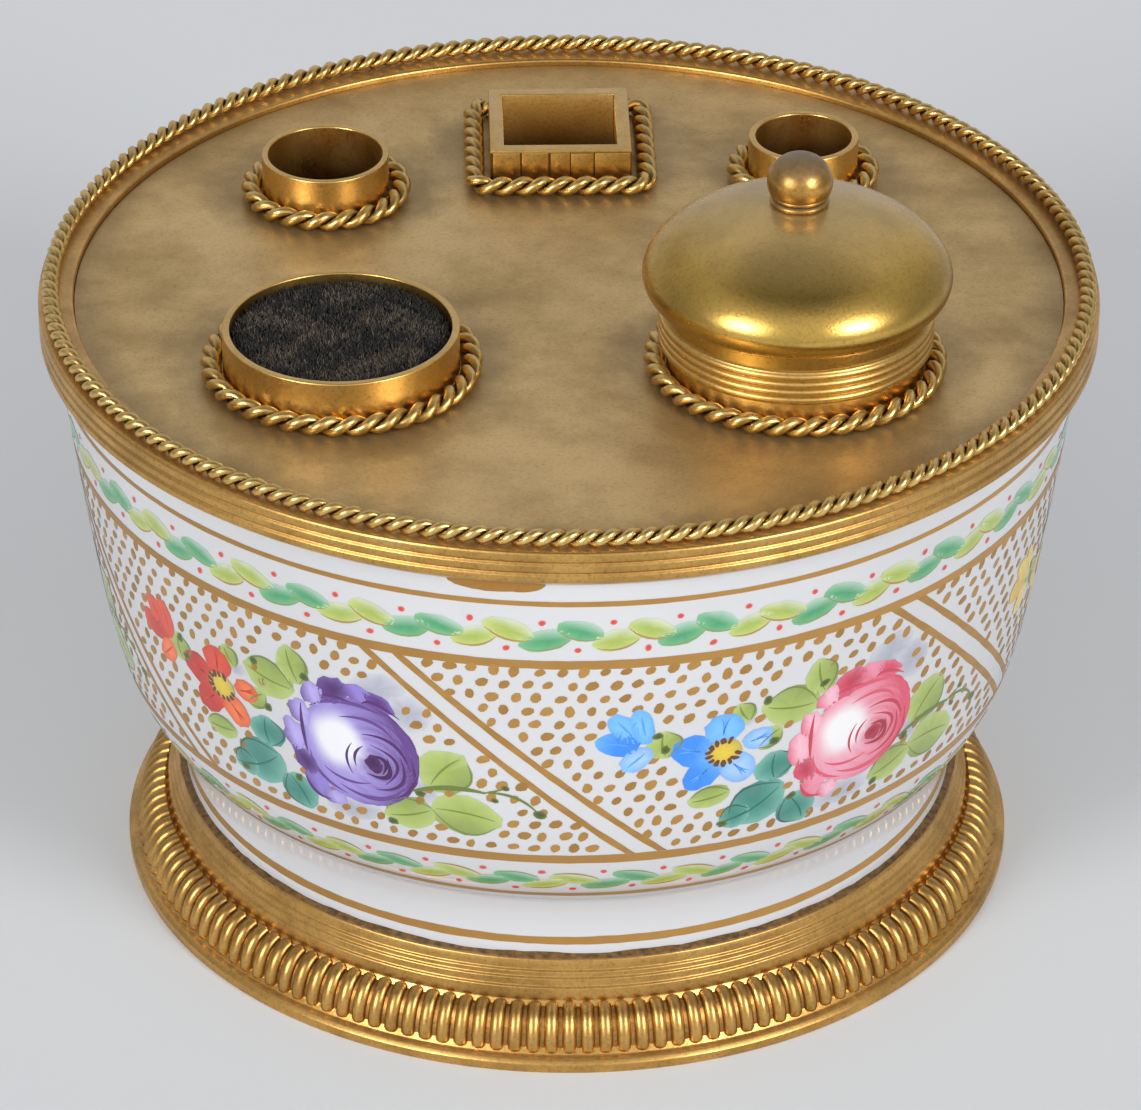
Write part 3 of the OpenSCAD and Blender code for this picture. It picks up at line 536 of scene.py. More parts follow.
rim_outline = [
    (SPIGOT_BORE_R, SPIGOT_Z), (SPIGOT_R, SPIGOT_Z), (SPIGOT_R, BOWL_TOP_Z + 0.1), (LIP_BORE_R, BOWL_TOP_Z + 0.1),
    (LIP_BORE_R, LIP_Z), (LIP_BORE_R + 0.5, LIP_Z - 0.2), (RIM_R, LIP_Z + 0.8),
    *groove(LIP_Z + 0.38 * BAND_H), *groove(LIP_Z + 0.68 * BAND_H),
    *arc((RIM_R - LEDGE_ROUND, LEDGE_Z - LEDGE_ROUND), LEDGE_ROUND, LEDGE_ROUND, 0, 90, 4),
    *arc((PLATE_R + PLATE_GAP + REBATE_ROUND, LEDGE_Z - REBATE_ROUND), REBATE_ROUND, REBATE_ROUND, 90, 180, 4),
    (PLATE_R + PLATE_GAP, PLATE_UNDER_Z), (SPIGOT_BORE_R, PLATE_UNDER_Z),
]
add_piece("rim_band", turned(soften(rim_outline, 0.12), steps=256), "stand", GILT_MOUNT, "gilt_bronze",
          ["rim_mount"], sharp=50)

# %% [markdown]
# ## Twisted wires
#
# Every joint on the plate, and the rim's own, is dressed with two wires twisted together. Each
# wire is a curve that winds round a path while it follows it. The curve's round bevel gives it
# thickness. The wires' inner sides, where they touch, get painted shade: the crevice value falls
# from the middle of the twist to its outside. One kind of path serves for all: a square with round
# corners, which is a circle when the corners' radius is half its width.


# %% Twisted wire helpers
def round_path(centre, half_w, half_d, corner, z):
    """A level square with round corners: a function from a share of its length to a point and its outward
    normal, and the length."""
    runs = []
    for side in range(4):
        turn = math.radians(90 * side)
        outward = Vector((math.cos(turn), math.sin(turn), 0))
        onward = Vector((-outward.y, outward.x, 0))
        reach, span = (half_w, half_d) if side % 2 == 0 else (half_d, half_w)
        runs.append((outward, onward, reach, span - corner))
    bend = math.pi / 2 * corner
    total = sum(2 * run[3] for run in runs) + 4 * bend
    middle = Vector((*centre, z))

    def at(share):
        left = share % 1.0 * total
        for outward, onward, reach, half_run in runs:
            if left <= 2 * half_run:
                return middle + outward * reach + onward * (left - half_run), outward
            left -= 2 * half_run
            if left <= bend:
                lean = left / corner
                normal = outward * math.cos(lean) + onward * math.sin(lean)
                return middle + outward * (reach - corner) + onward * half_run + normal * corner, normal
            left -= bend
        return at(0.0)
    return at, total


def curve_to_bmesh(rows, radius):
    """A bmesh of closed round wires through rows of points, in millimetres."""
    data = bpy.data.curves.new("wire", "CURVE")
    data.dimensions = "3D"
    data.bevel_depth = radius * MM
    data.bevel_resolution = 2
    for row in rows:
        spline = data.splines.new("POLY")
        spline.points.add(len(row) - 1)
        for point, spot in zip(spline.points, row):
            point.co = (*(spot * MM), 1.0)
        spline.use_cyclic_u = True
    holder = bpy.data.objects.new("wire", data)
    mesh = bpy.data.meshes.new_from_object(holder)
    bm = bmesh.new()
    bm.from_mesh(mesh)
    bpy.data.objects.remove(holder)
    bpy.data.curves.remove(data)
    bpy.data.meshes.remove(mesh)
    bmesh.ops.recalc_face_normals(bm, faces=bm.faces)
    return bm


def twisted_wire(name, path, length, thickness, crest_mm, stands_for):
    """Two wires twisted along a closed path. crest_mm is the distance from crest to crest."""
    turns = round(length / (2 * crest_mm))
    steps = turns * 9
    offset = thickness * 0.235
    axis = [path(i / steps) for i in range(steps)]
    rows = []
    for strand in (0, math.pi):
        winds = [2 * math.pi * turns * i / steps + strand for i in range(steps)]
        rows.append([spot + outward * (math.cos(wind) * offset) + Vector((0, 0, math.sin(wind) * offset))
                     for (spot, outward), wind in zip(axis, winds)])
    bm = curve_to_bmesh(rows, thickness * 0.262)
    sides = len(bm.verts) // (2 * steps)
    # Painted shade where the two wires touch, darkest near the twist's middle
    crevice = bm.verts.layers.float.new("crevice")
    bm.verts.ensure_lookup_table()
    for index, vert in enumerate(bm.verts):
        spot = axis[(index // sides) % steps][0]
        away = (vert.co / MM - spot).length / (thickness / 2)
        vert[crevice] = max(0.0, min(1.0, 2.1 - 2.5 * away))
    add_piece(name, bm, "stand", GILT_WIRE, "bright_gilt", stands_for, sharp=70)


# %% Twisted wires in place
CREST_MM = {"rim_rope": 2.5, "left_pen_rope": 3.1, "right_pen_rope": 3.1, "wiper_rope": 3.25,
            "inkwell_rope": 3.1, "wax_box_rope": 3.0}
for node, crest in CREST_MM.items():
    low, high = box_mm(node)
    thickness = high.z - low.z
    half_w = half_d = corner = radius_mm(node) - thickness / 2
    if node == "wax_box_rope":
        half_d, corner = (high.y - low.y - thickness) / 2, 2.4
    path, length = round_path(middle_mm(node), half_w, half_d, corner, (low.z + high.z) / 2)
    twisted_wire(node.replace("rope", "twist"), path, length, thickness, crest, [node])

# %% [markdown]
# ## Tubes and collar
#
# The pen tubes, the wiper's cup and the inkwell's collar are short lengths of turned tube with a
# thin flange soldered to the plate. They differ only in their sizes.

# %% Tubes
FLANGE_H, FLANGE_W = 0.9, 0.2


def painted_shade_inside(bm, top_z, is_inside):
    """Gives the inner faces of a tube a crevice value, painted shade that grows with the depth, and returns the tube.
    """
    crevice = bm.verts.layers.float.new("crevice")
    for vert in bm.verts:
        if is_inside(vert.co / MM):
            vert[crevice] = 0.15 + 0.025 * max(0.0, top_z - vert.co.z / MM)
    return bm


def tube_outline(outer, bore, top, bottom):
    """Outline of a flanged tube, from its bore at the bottom round to its bore at the top."""
    return [(bore, bottom), (outer, bottom), (outer, PLATE_Z), (outer + FLANGE_W, PLATE_Z),
            (outer + FLANGE_W, PLATE_Z + FLANGE_H), (outer, PLATE_Z + FLANGE_H), (outer, top), (bore, top)]


for name, node, centre, outer, bore in (
    ("left_pen_sleeve", "left_pen_tube", LEFT_PEN, 9.2, 8.3),
    ("right_pen_sleeve", "right_pen_tube", RIGHT_PEN, 8.0, 7.0),
    ("wiper_collar", "wiper_cup", WIPER, 16.35, 15.3),
):
    low, high = box_mm(node)
    outline = soften(tube_outline(outer, bore, high.z, low.z), 0.25)
    tube = painted_shade_inside(turned(outline, centre, 128), high.z,
                        lambda p: math.hypot(p.x - centre[0], p.y - centre[1]) < bore + 0.05)
    add_piece(name, tube, "stand", GILT_CAST, "gilt_bronze", [node])

WELL_R, WELL_BORE_R, SHELF_R = 17.8, 16.6, 15.2
SHELF_Z = PLATE_Z - 2.0
low, high = box_mm("inkwell_collar")
collar_outline = tube_outline(WELL_R, WELL_BORE_R, high.z, low.z)[1:] + [(WELL_BORE_R, SHELF_Z), (SHELF_R, SHELF_Z),
                                                                          (SHELF_R, low.z)]
add_piece("well_collar", turned(soften(collar_outline, 0.2), WELL, 128), "stand", GILT_CAST, "gilt_bronze",
          ["inkwell_collar"])

# %% [markdown]
# ## The wax box
#
# The square box is a length of square tube, let through the plate and soldered: two blocks
# without ends, one in the other, bridged at their rims. Its front was patched with five strips
# of sheet, soldered on side by side and filed level, and the joints between them stay visible. A
# flange with round corners lies round its foot, inside the wire.

# %% Wax box
BOX_W, BOX_D, BOX_WALL = 20.6, 20.3, 2.0
low, high = box_mm("wax_box")
wax_box = bmesh.new()
for inset in (0.0, 2 * BOX_WALL):
    corners = block(wax_box, (*BOX, (low.z + high.z) / 2), (BOX_W - inset, BOX_D - inset, high.z - low.z))
    if inset:
        bmesh.ops.reverse_faces(wax_box, faces=[face for face in wax_box.faces if face.verts[0] in corners])
ends = [face for face in wax_box.faces if abs(face.normal.z) > 0.5]
bmesh.ops.delete(wax_box, geom=ends, context="FACES_ONLY")
for end_z in (low.z, high.z):
    rim_edges = [e for e in wax_box.edges if all(abs(v.co.z / MM - end_z) < 0.01 for v in e.verts)]
    bmesh.ops.bridge_loops(wax_box, edges=rim_edges)


def bevelled(bm, edges, width_mm):
    """Rounds these edges of a bmesh."""
    bmesh.ops.bevel(bm, geom=edges, offset=width_mm * MM, offset_type="OFFSET", affect="EDGES", segments=2,
                    profile=0.5, material=-1)


bevelled(wax_box, [e for e in wax_box.edges if e.is_manifold and e.calc_face_angle(0) > 0.5], 0.16)
bmesh.ops.recalc_face_normals(wax_box, faces=wax_box.faces)
hole_w, hole_d = BOX_W / 2 - BOX_WALL + 0.05, BOX_D / 2 - BOX_WALL + 0.05
# Painted shade inside the box, darker with depth
painted_shade_inside(wax_box, high.z, lambda p: abs(p.x - BOX[0]) < hole_w and abs(p.y - BOX[1]) < hole_d)
add_piece("wax_box_tube", wax_box, "stand", GILT_CAST, "gilt_bronze", ["wax_box"])

# %% Strips on the front of the box, and the flange
# Start and end of each strip from the box's middle, and how proud it stands
STRIPS = ((-9.9, -5.95, 0.32), (-5.70, -1.85, 0.20), (-1.5, 1.32, 0.26), (1.45, 4.75, 0.36), (4.95, 10.1, 0.30))
front_y = BOX[1] - BOX_D / 2
flange_top_z = PLATE_Z + FLANGE_H
strips = bmesh.new()
for start, end, proud in STRIPS:
    low_z = flange_top_z + dice.uniform(0.1, 0.5)
    top_z = high.z - dice.uniform(0.25, 0.6)
    block(strips, (BOX[0] + (start + end) / 2, front_y + 0.15 - proud / 2, (top_z + low_z) / 2),
          (end - start, proud + 0.3, top_z - low_z))
bevelled(strips, strips.edges[:], 0.07)
add_piece("wax_box_strips", strips, "stand", GILT_CAST, "gilt_bronze")

joint_grime = bmesh.new()
joint_top_z = high.z - 0.35
block(joint_grime, (BOX[0], front_y + 0.08, (joint_top_z + flange_top_z) / 2), (BOX_W, 0.3, joint_top_z - flange_top_z))
add_piece("wax_box_joints", joint_grime, "stand", GILT_DARK, "dark_gilt")

wire_low, wire_high = box_mm("wax_box_rope")
inside_wire = wire_high.z - wire_low.z + 0.05
flange_path, _ = round_path(
    middle_mm("wax_box_rope"), radius_mm("wax_box_rope") - inside_wire,
    (wire_high.y - wire_low.y) / 2 - inside_wire, 0.9, PLATE_Z,
)
outer_row = [flange_path(i / 96)[0] for i in range(96)]
wall_w, wall_d = BOX_W / 2 - 0.6, BOX_D / 2 - 0.6
inner_row = [Vector((max(BOX[0] - wall_w, min(BOX[0] + wall_w, p.x)),
                     max(BOX[1] - wall_d, min(BOX[1] + wall_d, p.y)), p.z)) for p in outer_row]
lifted = Vector((0, 0, FLANGE_H))
box_flange = loft([outer_row, [p + lifted for p in outer_row], [p + lifted for p in inner_row], inner_row])
# The flange is dark gilt: painted shade in the gap between the box and the wire
add_piece("wax_box_flange", box_flange, "stand", GILT_DARK, "gilt_bronze")

# %% [markdown]
# ## The lid
#
# The lid has three parts: a ring with four turned beads that sits on the collar, a spun dome
# with a short neck, and a knob screwed to it. The dome is a little more pointed than an
# ellipse. A superellipse with an exponent of 1.75 gives that line from one formula.

# %% Lid ring and dome
ring_low, ring_high = box_mm("lid_ring")
RING_R, RING_H = radius_mm("lid_ring"), ring_high.z - ring_low.z
SLEEVE_R, NECK_R = radius_mm("lid_sleeve"), RING_R - 0.8
BEADS = 4
bead_h = 0.94 * RING_H / BEADS
bead_r = 0.42 * bead_h
ring_outline = [(SLEEVE_R, ring_low.z)]
for bead in range(BEADS):
    ring_outline += arc((RING_R - bead_r, ring_low.z + (bead + 0.5) * bead_h), bead_r, bead_h / 2, -80, 80, 6)
ring_outline += [(NECK_R + 0.35, ring_high.z - 0.03 * RING_H), (NECK_R, ring_high.z), (SLEEVE_R, ring_high.z)]
add_piece("lid_beads", turned(ring_outline, WELL), "lid", GILT_CAST, "gilt_bronze", ["lid_ring"], sharp=50)

DOME_ROUND, DOME_RISE, DOME_UNDER, DOME_WALL = 1.75, 10.9, 3.3, 1.2
LID_NECK_H, KNOB_LAND_R, SCREW_R = 2.1, 4.1, 1.55
DOME_R = radius_mm("lid_dome")
DOME_Z = ring_high.z + LID_NECK_H + DOME_UNDER


def dome_top(reach, rise, steps=40):
    """The outline of a dome of this radius and rise, from its widest ring up to the land under the knob."""
    radii = [reach - (reach - KNOB_LAND_R) * (i / steps) ** 1.8 for i in range(steps + 1)]
    return [(r, DOME_Z + rise * (1 - min(1.0, r / reach) ** DOME_ROUND) ** (1 / DOME_ROUND)) for r in radii]


swell = DOME_R - NECK_R
under = arc((NECK_R, DOME_Z), swell, DOME_UNDER, -90, 0, 12)[1:-1]
inner_under = arc((NECK_R - DOME_WALL, DOME_Z), swell, DOME_UNDER, 0, -90, 12)[1:-1]
outer_top = dome_top(DOME_R, DOME_RISE)
inner_top = dome_top(DOME_R - DOME_WALL, DOME_RISE - DOME_WALL)[::-1]
land_z = outer_top[-1][1]
dome_outline = (
    [(NECK_R - DOME_WALL, ring_high.z), (NECK_R, ring_high.z), (NECK_R, ring_high.z + LID_NECK_H - 0.05)]
    + under + outer_top + [(SCREW_R, land_z), (SCREW_R, inner_top[0][1])] + inner_top + inner_under
)
add_piece("lid_shell", turned(dome_outline, WELL), "lid", GILT_LID, "gilt_plate", ["lid_dome"], sharp=50)

# %% Knob
BALL_R, BALL_H, NECK_RING, KNOB_SCREW_R = 4.5, 5.4, 1.0, 1.5
knob_foot_z = box_mm("lid_knob")[0].z
ring_mid_r = KNOB_LAND_R - NECK_RING / 2
knob_outline = (
    [(0.0, knob_foot_z), (KNOB_SCREW_R, knob_foot_z), (KNOB_SCREW_R, land_z)]
    + arc((ring_mid_r, land_z + NECK_RING / 2), NECK_RING / 2, NECK_RING / 2, -90, 90, 8)
    + [(ring_mid_r - 0.2, land_z + NECK_RING)]
    + arc((ring_mid_r - 0.1, land_z + 1.45 * NECK_RING), NECK_RING / 2, 0.4 * NECK_RING, -80, 80, 8)
    + arc((0.0, land_z + 2 * NECK_RING + 0.25 * BALL_H), BALL_R, 0.75 * BALL_H, -22, 90, 20)
)
add_piece("lid_ball", turned(knob_outline, WELL, 64), "lid", GILT_KNOB, "dark_gilt", ["lid_knob"], sharp=50)

# %% [markdown]
# ## The porcelain bowl
#
# The bowl was thrown or pressed in a mould, then glazed. Its side leans out a little with
# height and tucks in quickly above the foot, which an exponential curve follows closely. The
# same formula will later carry the painting, so it is a function.

# %% Bowl
BOWL_RIM_R, BOWL_WALL = RIM_R - 1.8, 4.0
BOWL_TAPER, BOWL_TUCK, TUCK_REACH = 0.13, 6.6, 6.8
ANKLE_Z = BED_Z + 14.7
TOE_R, TOE_TOP_Z, WAIST_DRAW = BED_R - 0.7, BED_Z + 4.0, 2.2
HOLLOW_R, HOLLOW_Z, FLOOR_T, VENT_R = TOE_R - 5.2, BED_Z + 6.0, 4.0, 4.0


def side_r(z):
    """Outer radius of the bowl's side at height z, from the ankle up."""
    return BOWL_RIM_R - BOWL_TAPER * (BOWL_TOP_Z - z) - BOWL_TUCK * math.exp(-(z - ANKLE_Z) / TUCK_REACH)


def bezier(a, b, c, d, steps):
    """Points of the cubic curve from a to d with handles b and c."""
    points = []
    for i in range(steps + 1):
        t = i / steps
        s = 1 - t
        points.append(tuple(s ** 3 * a[k] + 3 * s * s * t * b[k] + 3 * s * t * t * c[k] + t ** 3 * d[k]
                            for k in (0, 1)))
    return points


ankle_r = side_r(ANKLE_Z)
FOOT_CURVE = bezier((TOE_R, TOE_TOP_Z), (TOE_R, TOE_TOP_Z + 2.0), (ankle_r - WAIST_DRAW - 0.2, ANKLE_Z - 5.5),
                    (ankle_r, ANKLE_Z), 18)
side_heights = [ANKLE_Z + (BOWL_TOP_Z - ANKLE_Z) * (i / 90) ** 1.5 for i in range(1, 91)]
outer_side = [(side_r(z), z) for z in side_heights]
bowl_outline = (
    [(HOLLOW_R, BED_Z), (TOE_R, BED_Z)] + FOOT_CURVE + outer_side + [(r - BOWL_WALL, z) for r, z in outer_side[::-1]]
    + [(ankle_r - BOWL_WALL - 1.2, ANKLE_Z - 2.4), (HOLLOW_R - 6, HOLLOW_Z + FLOOR_T), (VENT_R, HOLLOW_Z + FLOOR_T),
       (VENT_R, HOLLOW_Z), (HOLLOW_R, HOLLOW_Z)]
)
add_piece("bowl", turned(bowl_outline, steps=256), "stand", PORCELAIN, "porcelain", ["porcelain_bowl"])

# %% Lumpy grime between the bowl and the foot
GRIME_STEPS = 240
grime_rows = [[] for _ in range(5)]
for k in range(GRIME_STEPS):
    turn = math.radians(360 / GRIME_STEPS * k)
    lump = 0.5 + 0.5 * math.sin(7 * turn + 2.2 * math.sin(5 * turn)) * math.sin(13 * turn + 1)
    lump = 0.55 * lump + 0.45 * dice.random()
    section = ((TOE_R - 0.35, -0.4), (BED_R + 0.25 + 0.3 * lump, -0.15), (BED_R + 0.1 + 0.3 * lump, 0.06 + 0.12 * lump),
               (TOE_R + 0.10 + 0.15 * lump, 0.10 + 0.30 * lump), (TOE_R - 0.35, 0.15 + 0.65 * lump))
    for row, (r, above) in zip(grime_rows, section):
        row.append(Vector((r * math.cos(turn), r * math.sin(turn), FOOT_TOP_Z + above)))
add_piece("foot_grime", loft(grime_rows), "stand", GRIME, "plaster")

# %% [markdown]
# ## Places on the glaze
#
# A china painter works on the curved side as on a sheet of paper. Two numbers place each touch:
# the turn from the front in degrees, and the distance up the side from the ankle in millimetres.
# The outline of foot and side is measured along its length once, and then looked up.

# %% Walk up the bowl's side
outline_walk = [(0.0, *FOOT_CURVE[0])]
for r, z in FOOT_CURVE[1:] + outer_side[:-2]:
    walked, last_r, last_z = outline_walk[-1]
    outline_walk.append((walked + math.hypot(r - last_r, z - last_z), r, z))
ankle_walk = next(walked for walked, r, z in outline_walk if z > ANKLE_Z - 1e-6)
outline_walk = [(walked - ankle_walk, r, z) for walked, r, z in outline_walk]
ENAMEL_LIFT, LAYER_LIFT = 0.03, 0.012


def on_side(s):
    """Radius and height of the glaze, s millimetres up the side from the ankle."""
    k = 1
    while k < len(outline_walk) - 1 and outline_walk[k][0] < s:
        k += 1
    (s0, r0, z0), (s1, r1, z1) = outline_walk[k - 1], outline_walk[k]
    share = (s - s0) / (s1 - s0)
    return r0 + (r1 - r0) * share, z0 + (z1 - z0) * share


def glaze_spot(phi, s, layer):
    """The point on the glaze at this turn and distance, lifted by the number of paint layers."""
    r, z = on_side(s)
    r += ENAMEL_LIFT + LAYER_LIFT * layer
    turn = math.radians(phi)
    return Vector((r * math.sin(turn), -r * math.cos(turn), z)) * MM


def beside(anchor, u, v):
    """The place u millimetres to the right of an anchor and v above it."""
    phi, s = anchor
    return phi + math.degrees(u / on_side(s + v)[0]), s + v


print(f"painted side: {outline_walk[-1][0]:.1f} mm from the ankle to the rim")

# %% [markdown]
# ## Brush and colours
#
# Every touch is a small mesh that follows the glaze. A dab is a round or pointed spot, whose
# colour changes from its middle to its edge and towards one side, with the fine streaks that
# hairs leave. A stroke is a line that swells and thins.


# %% Brush helpers
def new_canvas():
    """An empty mesh for touches, with a colour at each vertex."""
    canvas = bmesh.new()
    canvas.verts.layers.float_color.new("paint")
    return canvas


def tone(hex_colour):
    """Enamel colour, a little darker than it looks under the bright lamps."""
    return Vector([0.92 * c for c in linear(hex_colour)[:3]])


def palette(hex_colours):
    """Enamel colours from a row of hex values."""
    return [tone(hex_colour) for hex_colour in hex_colours.split()]


def between(first, second, share):
    """The mixture of two colours."""
    return first.lerp(second, max(0.0, min(1.0, share)))


def lay(canvas, rows, colours, closed):
    """Joins rows of (turn, distance, layer) places with faces and colours each corner."""
    paint = canvas.verts.layers.float_color["paint"]
    lines = []
    for row, shades in zip(rows, colours):
        line = []
        for place, shade in zip(row, shades):
            vert = canvas.verts.new(glaze_spot(*place))
            vert[paint] = (*shade, 1.0)
            line.append(vert)
        lines.append(line)
    for near, far in zip(lines, lines[1:]):
        for i in range(len(near) if closed else len(near) - 1):
            j = (i + 1) % len(near)
            canvas.faces.new((near[i], near[j], far[j], far[i]))
    return lines


def shaded(core, edge, side=None, toward=0.0, strength=0.8):
    """A colour rule for a dab: from core to edge, and to side in the direction toward (degrees)."""
    def rule(x, y, share, turn):
        shade = between(core, edge, share ** 2)
        if side is not None:
            shade = between(shade, side, strength * share * max(0.0, math.cos(turn - math.radians(toward))))
        return shade
    return rule


def dab(canvas, anchor, shape, rule, layer=1, rings=4, spokes=16, wobble=0.05, point=0.0, streaky=0.06):
    """A spot of the brush. shape is its place beside the anchor, its width and height in millimetres and its
    lean in degrees. point narrows its far end."""
    u, v, w, h, lean = shape
    turned_by = math.radians(lean)
    uneven = [1 + dice.uniform(-wobble, wobble) for _ in range(spokes)]
    streak = [1 + dice.uniform(-streaky, streaky) for _ in range(spokes)]
    rows, colours = [], []
    for ring in range(rings + 1):
        share = max(0.04, ring / rings)
        row, shades = [], []
        for k in range(spokes):
            turn = 2 * math.pi * k / spokes
            x, y = share * math.cos(turn) * uneven[k], share * math.sin(turn) * uneven[k]
            du, dv = x * w / 2, y * h / 2 * (1 - point * max(0.0, x) ** 2)
            place = beside(anchor, u + du * math.cos(turned_by) - dv * math.sin(turned_by),
                           v + du * math.sin(turned_by) + dv * math.cos(turned_by))
            row.append((*place, layer))
            shades.append(rule(x, y, share, turn + turned_by) * streak[k])
        rows.append(row)
        colours.append(shades)
    canvas.faces.new(lay(canvas, rows, colours, True)[0])


def stroke(canvas, anchor, points, width, colour, layer=2, steps=8, ends=0.25):
    """A line of the brush through three (u, v) points, thinner at its ends."""
    first, through, last = (Vector(p) for p in points)
    handle = 2 * through - (first + last) / 2
    sides = [[], []]
    for i in range(steps + 1):
        t = i / steps
        spot = first * (1 - t) ** 2 + handle * 2 * t * (1 - t) + last * t * t
        onward = (handle - first) * (1 - t) + (last - handle) * t
        across = Vector((-onward.y, onward.x)).normalized()
        half = width / 2 * (ends + (1 - ends) * math.sin(math.pi * t))
        for side, sign in zip(sides, (-1, 1)):
            side.append((*beside(anchor, *(spot + across * half * sign)), layer))
    lay(canvas, sides, [[colour] * (steps + 1)] * 2, False)


def heading(degrees):
    """The flat direction at this angle."""
    return Vector((math.cos(math.radians(degrees)), math.sin(math.radians(degrees))))


print("brushes ready")

# %% [markdown]
# ## Gold lines and the dotted ground
#
# Three gold lines go round the side, one more the ankle and one the foot. Pairs of slanting lines
# divide the main field into six. Between them lies a ground of small gold dots in staggered rows,
# which leaves the flowers free, so the flowers' outlines are needed first.

# %% Where the flowers go
ROSES = ((-26.0, 29.3, "purple"), (34.5, 29.0, "pink"), (94.5, 29.0, "blue"),
         (154.0, 29.3, "purple"), (214.5, 29.0, "pink"), (274.5, 29.0, "blue"))
# Free fields around each rose: middle beside the rose, and half sizes, in millimetres
FREE = ((0.0, 1.0, 9.3, 10.2), (-10.5, 10.6, 5.6, 4.4), (-14.6, -1.0, 4.6, 6.5), (-15.8, -8.2, 4.9, 4.2),
        (-9.2, -10.6, 3.8, 3.2), (-22.0, 2.8, 6.8, 6.0), (-23.2, -5.0, 3.0, 2.0), (-30.4, 5.4, 2.6, 3.0),
        (-35.2, 6.4, 4.2, 5.2), (12.6, -0.4, 4.2, 3.9), (14.8, -8.0, 5.2, 3.9), (6.4, -9.3, 4.0, 3.0),
        (3.6, 11.2, 4.6, 3.0), (-19.8, 9.2, 1.8, 1.8))
SLANT_TOP, SLANT_LOW = 48.4, 14.4
SLANT_TURN, SLANT_PAIR, SLANT_START, SLANT_FREE = 30.2, 3.9, -24.2, 0.95
# How far each pair of slanting lines strays from its sixth of the round, in degrees
STRAY = (0.0, 1.2, 0.4, -0.5, 0.3, -0.2)


def slant_phi(s, field):
    """Turn of a field's first slanting line at distance s up the side."""
    start = SLANT_START + 360 / len(STRAY) * field + STRAY[field]
    return start + SLANT_TURN * (SLANT_TOP - s) / (SLANT_TOP - SLANT_LOW)


def wrapped(degrees):
    """The same turn between -180 and 180."""
    return (degrees + 180) % 360 - 180


def is_free(phi, s):
    """Whether the place is kept free for flowers or for a pair of slanting lines."""
    r = on_side(s)[0]
    for rose_phi, rose_s, _ in ROSES:
        u = math.radians(wrapped(phi - rose_phi)) * r
        if any(((u - cu) / a) ** 2 + ((s - rose_s - cv) / b) ** 2 < 1 for cu, cv, a, b in FREE):
            return True
    return any(-SLANT_FREE < wrapped(phi - slant_phi(s, field)) < SLANT_PAIR + SLANT_FREE
               for field in range(len(STRAY)))


# %% Lines and dots
GOLD_DARK, GOLD_LIGHT = palette("a87c3c c2924c")
RING_STEPS, SLANT_STEPS, SLANT_HALF, FOOT_LINE_Z = 256, 40, 0.62, 16.2
gold = new_canvas()


def gold_ring(s, width):
    """A gold line all round, with the small unevenness of a banding wheel and a brush."""
    rows = [[(360 * i / RING_STEPS, s + width * (edge * (1 + 0.05 * math.sin(0.37 * i)) + dice.uniform(-0.03, 0.03)), 1)
             for i in range(RING_STEPS)] for edge in (-0.5, 0.5)]
    shades = [between(GOLD_DARK, GOLD_LIGHT, 0.5 + 0.35 * math.sin(0.05 * i) + dice.uniform(-0.12, 0.12))
              for i in range(RING_STEPS)]
    lay(gold, rows, [shades, shades], True)


foot_line = next(walked for walked, _, z in outline_walk if z > FOOT_LINE_Z)
# Distance up the side and width of each line
for s, width in ((59.5, 0.85), (49.1, 1.45), (13.5, 1.7), (3.5, 1.3), (foot_line, 1.3)):
    gold_ring(s, width)
for field in range(len(STRAY)):
    for past in (0.0, SLANT_PAIR):
        rows = [[], []]
        for i in range(SLANT_STEPS + 1):
            s = SLANT_TOP - (SLANT_TOP - SLANT_LOW) * i / SLANT_STEPS
            phi = slant_phi(s, field) + past
            half = SLANT_HALF + 0.05 * math.sin(i * 0.9 + field) + dice.uniform(-0.03, 0.03)
            rows[0].append((phi - half, s, 1))
            rows[1].append((phi + half, s, 1))
        shade = [between(GOLD_DARK, GOLD_LIGHT, dice.uniform(0.2, 0.8)) for _ in range(SLANT_STEPS + 1)]
        lay(gold, rows, [shade, shade], False)

DOT_PITCH, ROW_PITCH, DOT_ROWS, TOP_ROW = 2.45, 2.28, 15, 47.8
DOT_W, DOT_H = 1.85, 1.32
dot_count = 0
for row in range(DOT_ROWS):
    s = TOP_ROW - ROW_PITCH * row
    for column in range(round(360 / DOT_PITCH)):
        phi = DOT_PITCH * (column + 0.5 * (row % 2)) + dice.uniform(-0.22, 0.22) - 0.9 * row / DOT_ROWS
        if is_free(phi, s):
            continue
        size = dice.uniform(0.88, 1.12)
        shade = between(GOLD_DARK, GOLD_LIGHT, dice.uniform(0.1, 1.0))
        dab(gold, (phi, s + dice.uniform(-0.16, 0.16)), (0, 0, DOT_W * size, DOT_H * size, dice.uniform(15, 85)),
            shaded(shade, shade), rings=1, spokes=8, wobble=0.12)
        dot_count += 1
print(f"{dot_count} gold dots")

# %% [markdown]
# ## Leaf garlands
#
# Two garlands run round the bowl, one under the rim and one over the ankle. Each is a chain of 48
# pairs of leaves, blue-green and yellow-green by turns, with a red berry above and below each
# pair. A brown line gives the leaves their edge.

# %% Garlands
enamel = new_canvas()
WHITE, VEIN_BROWN, BERRY = palette("dfe1e4 b08a4c de3f30")
LEAF_GREEN, LEAF_YELLOW = palette("52a070 7cba8a"), palette("a6b856 c3cf84")
PAIR_COUNT = 48


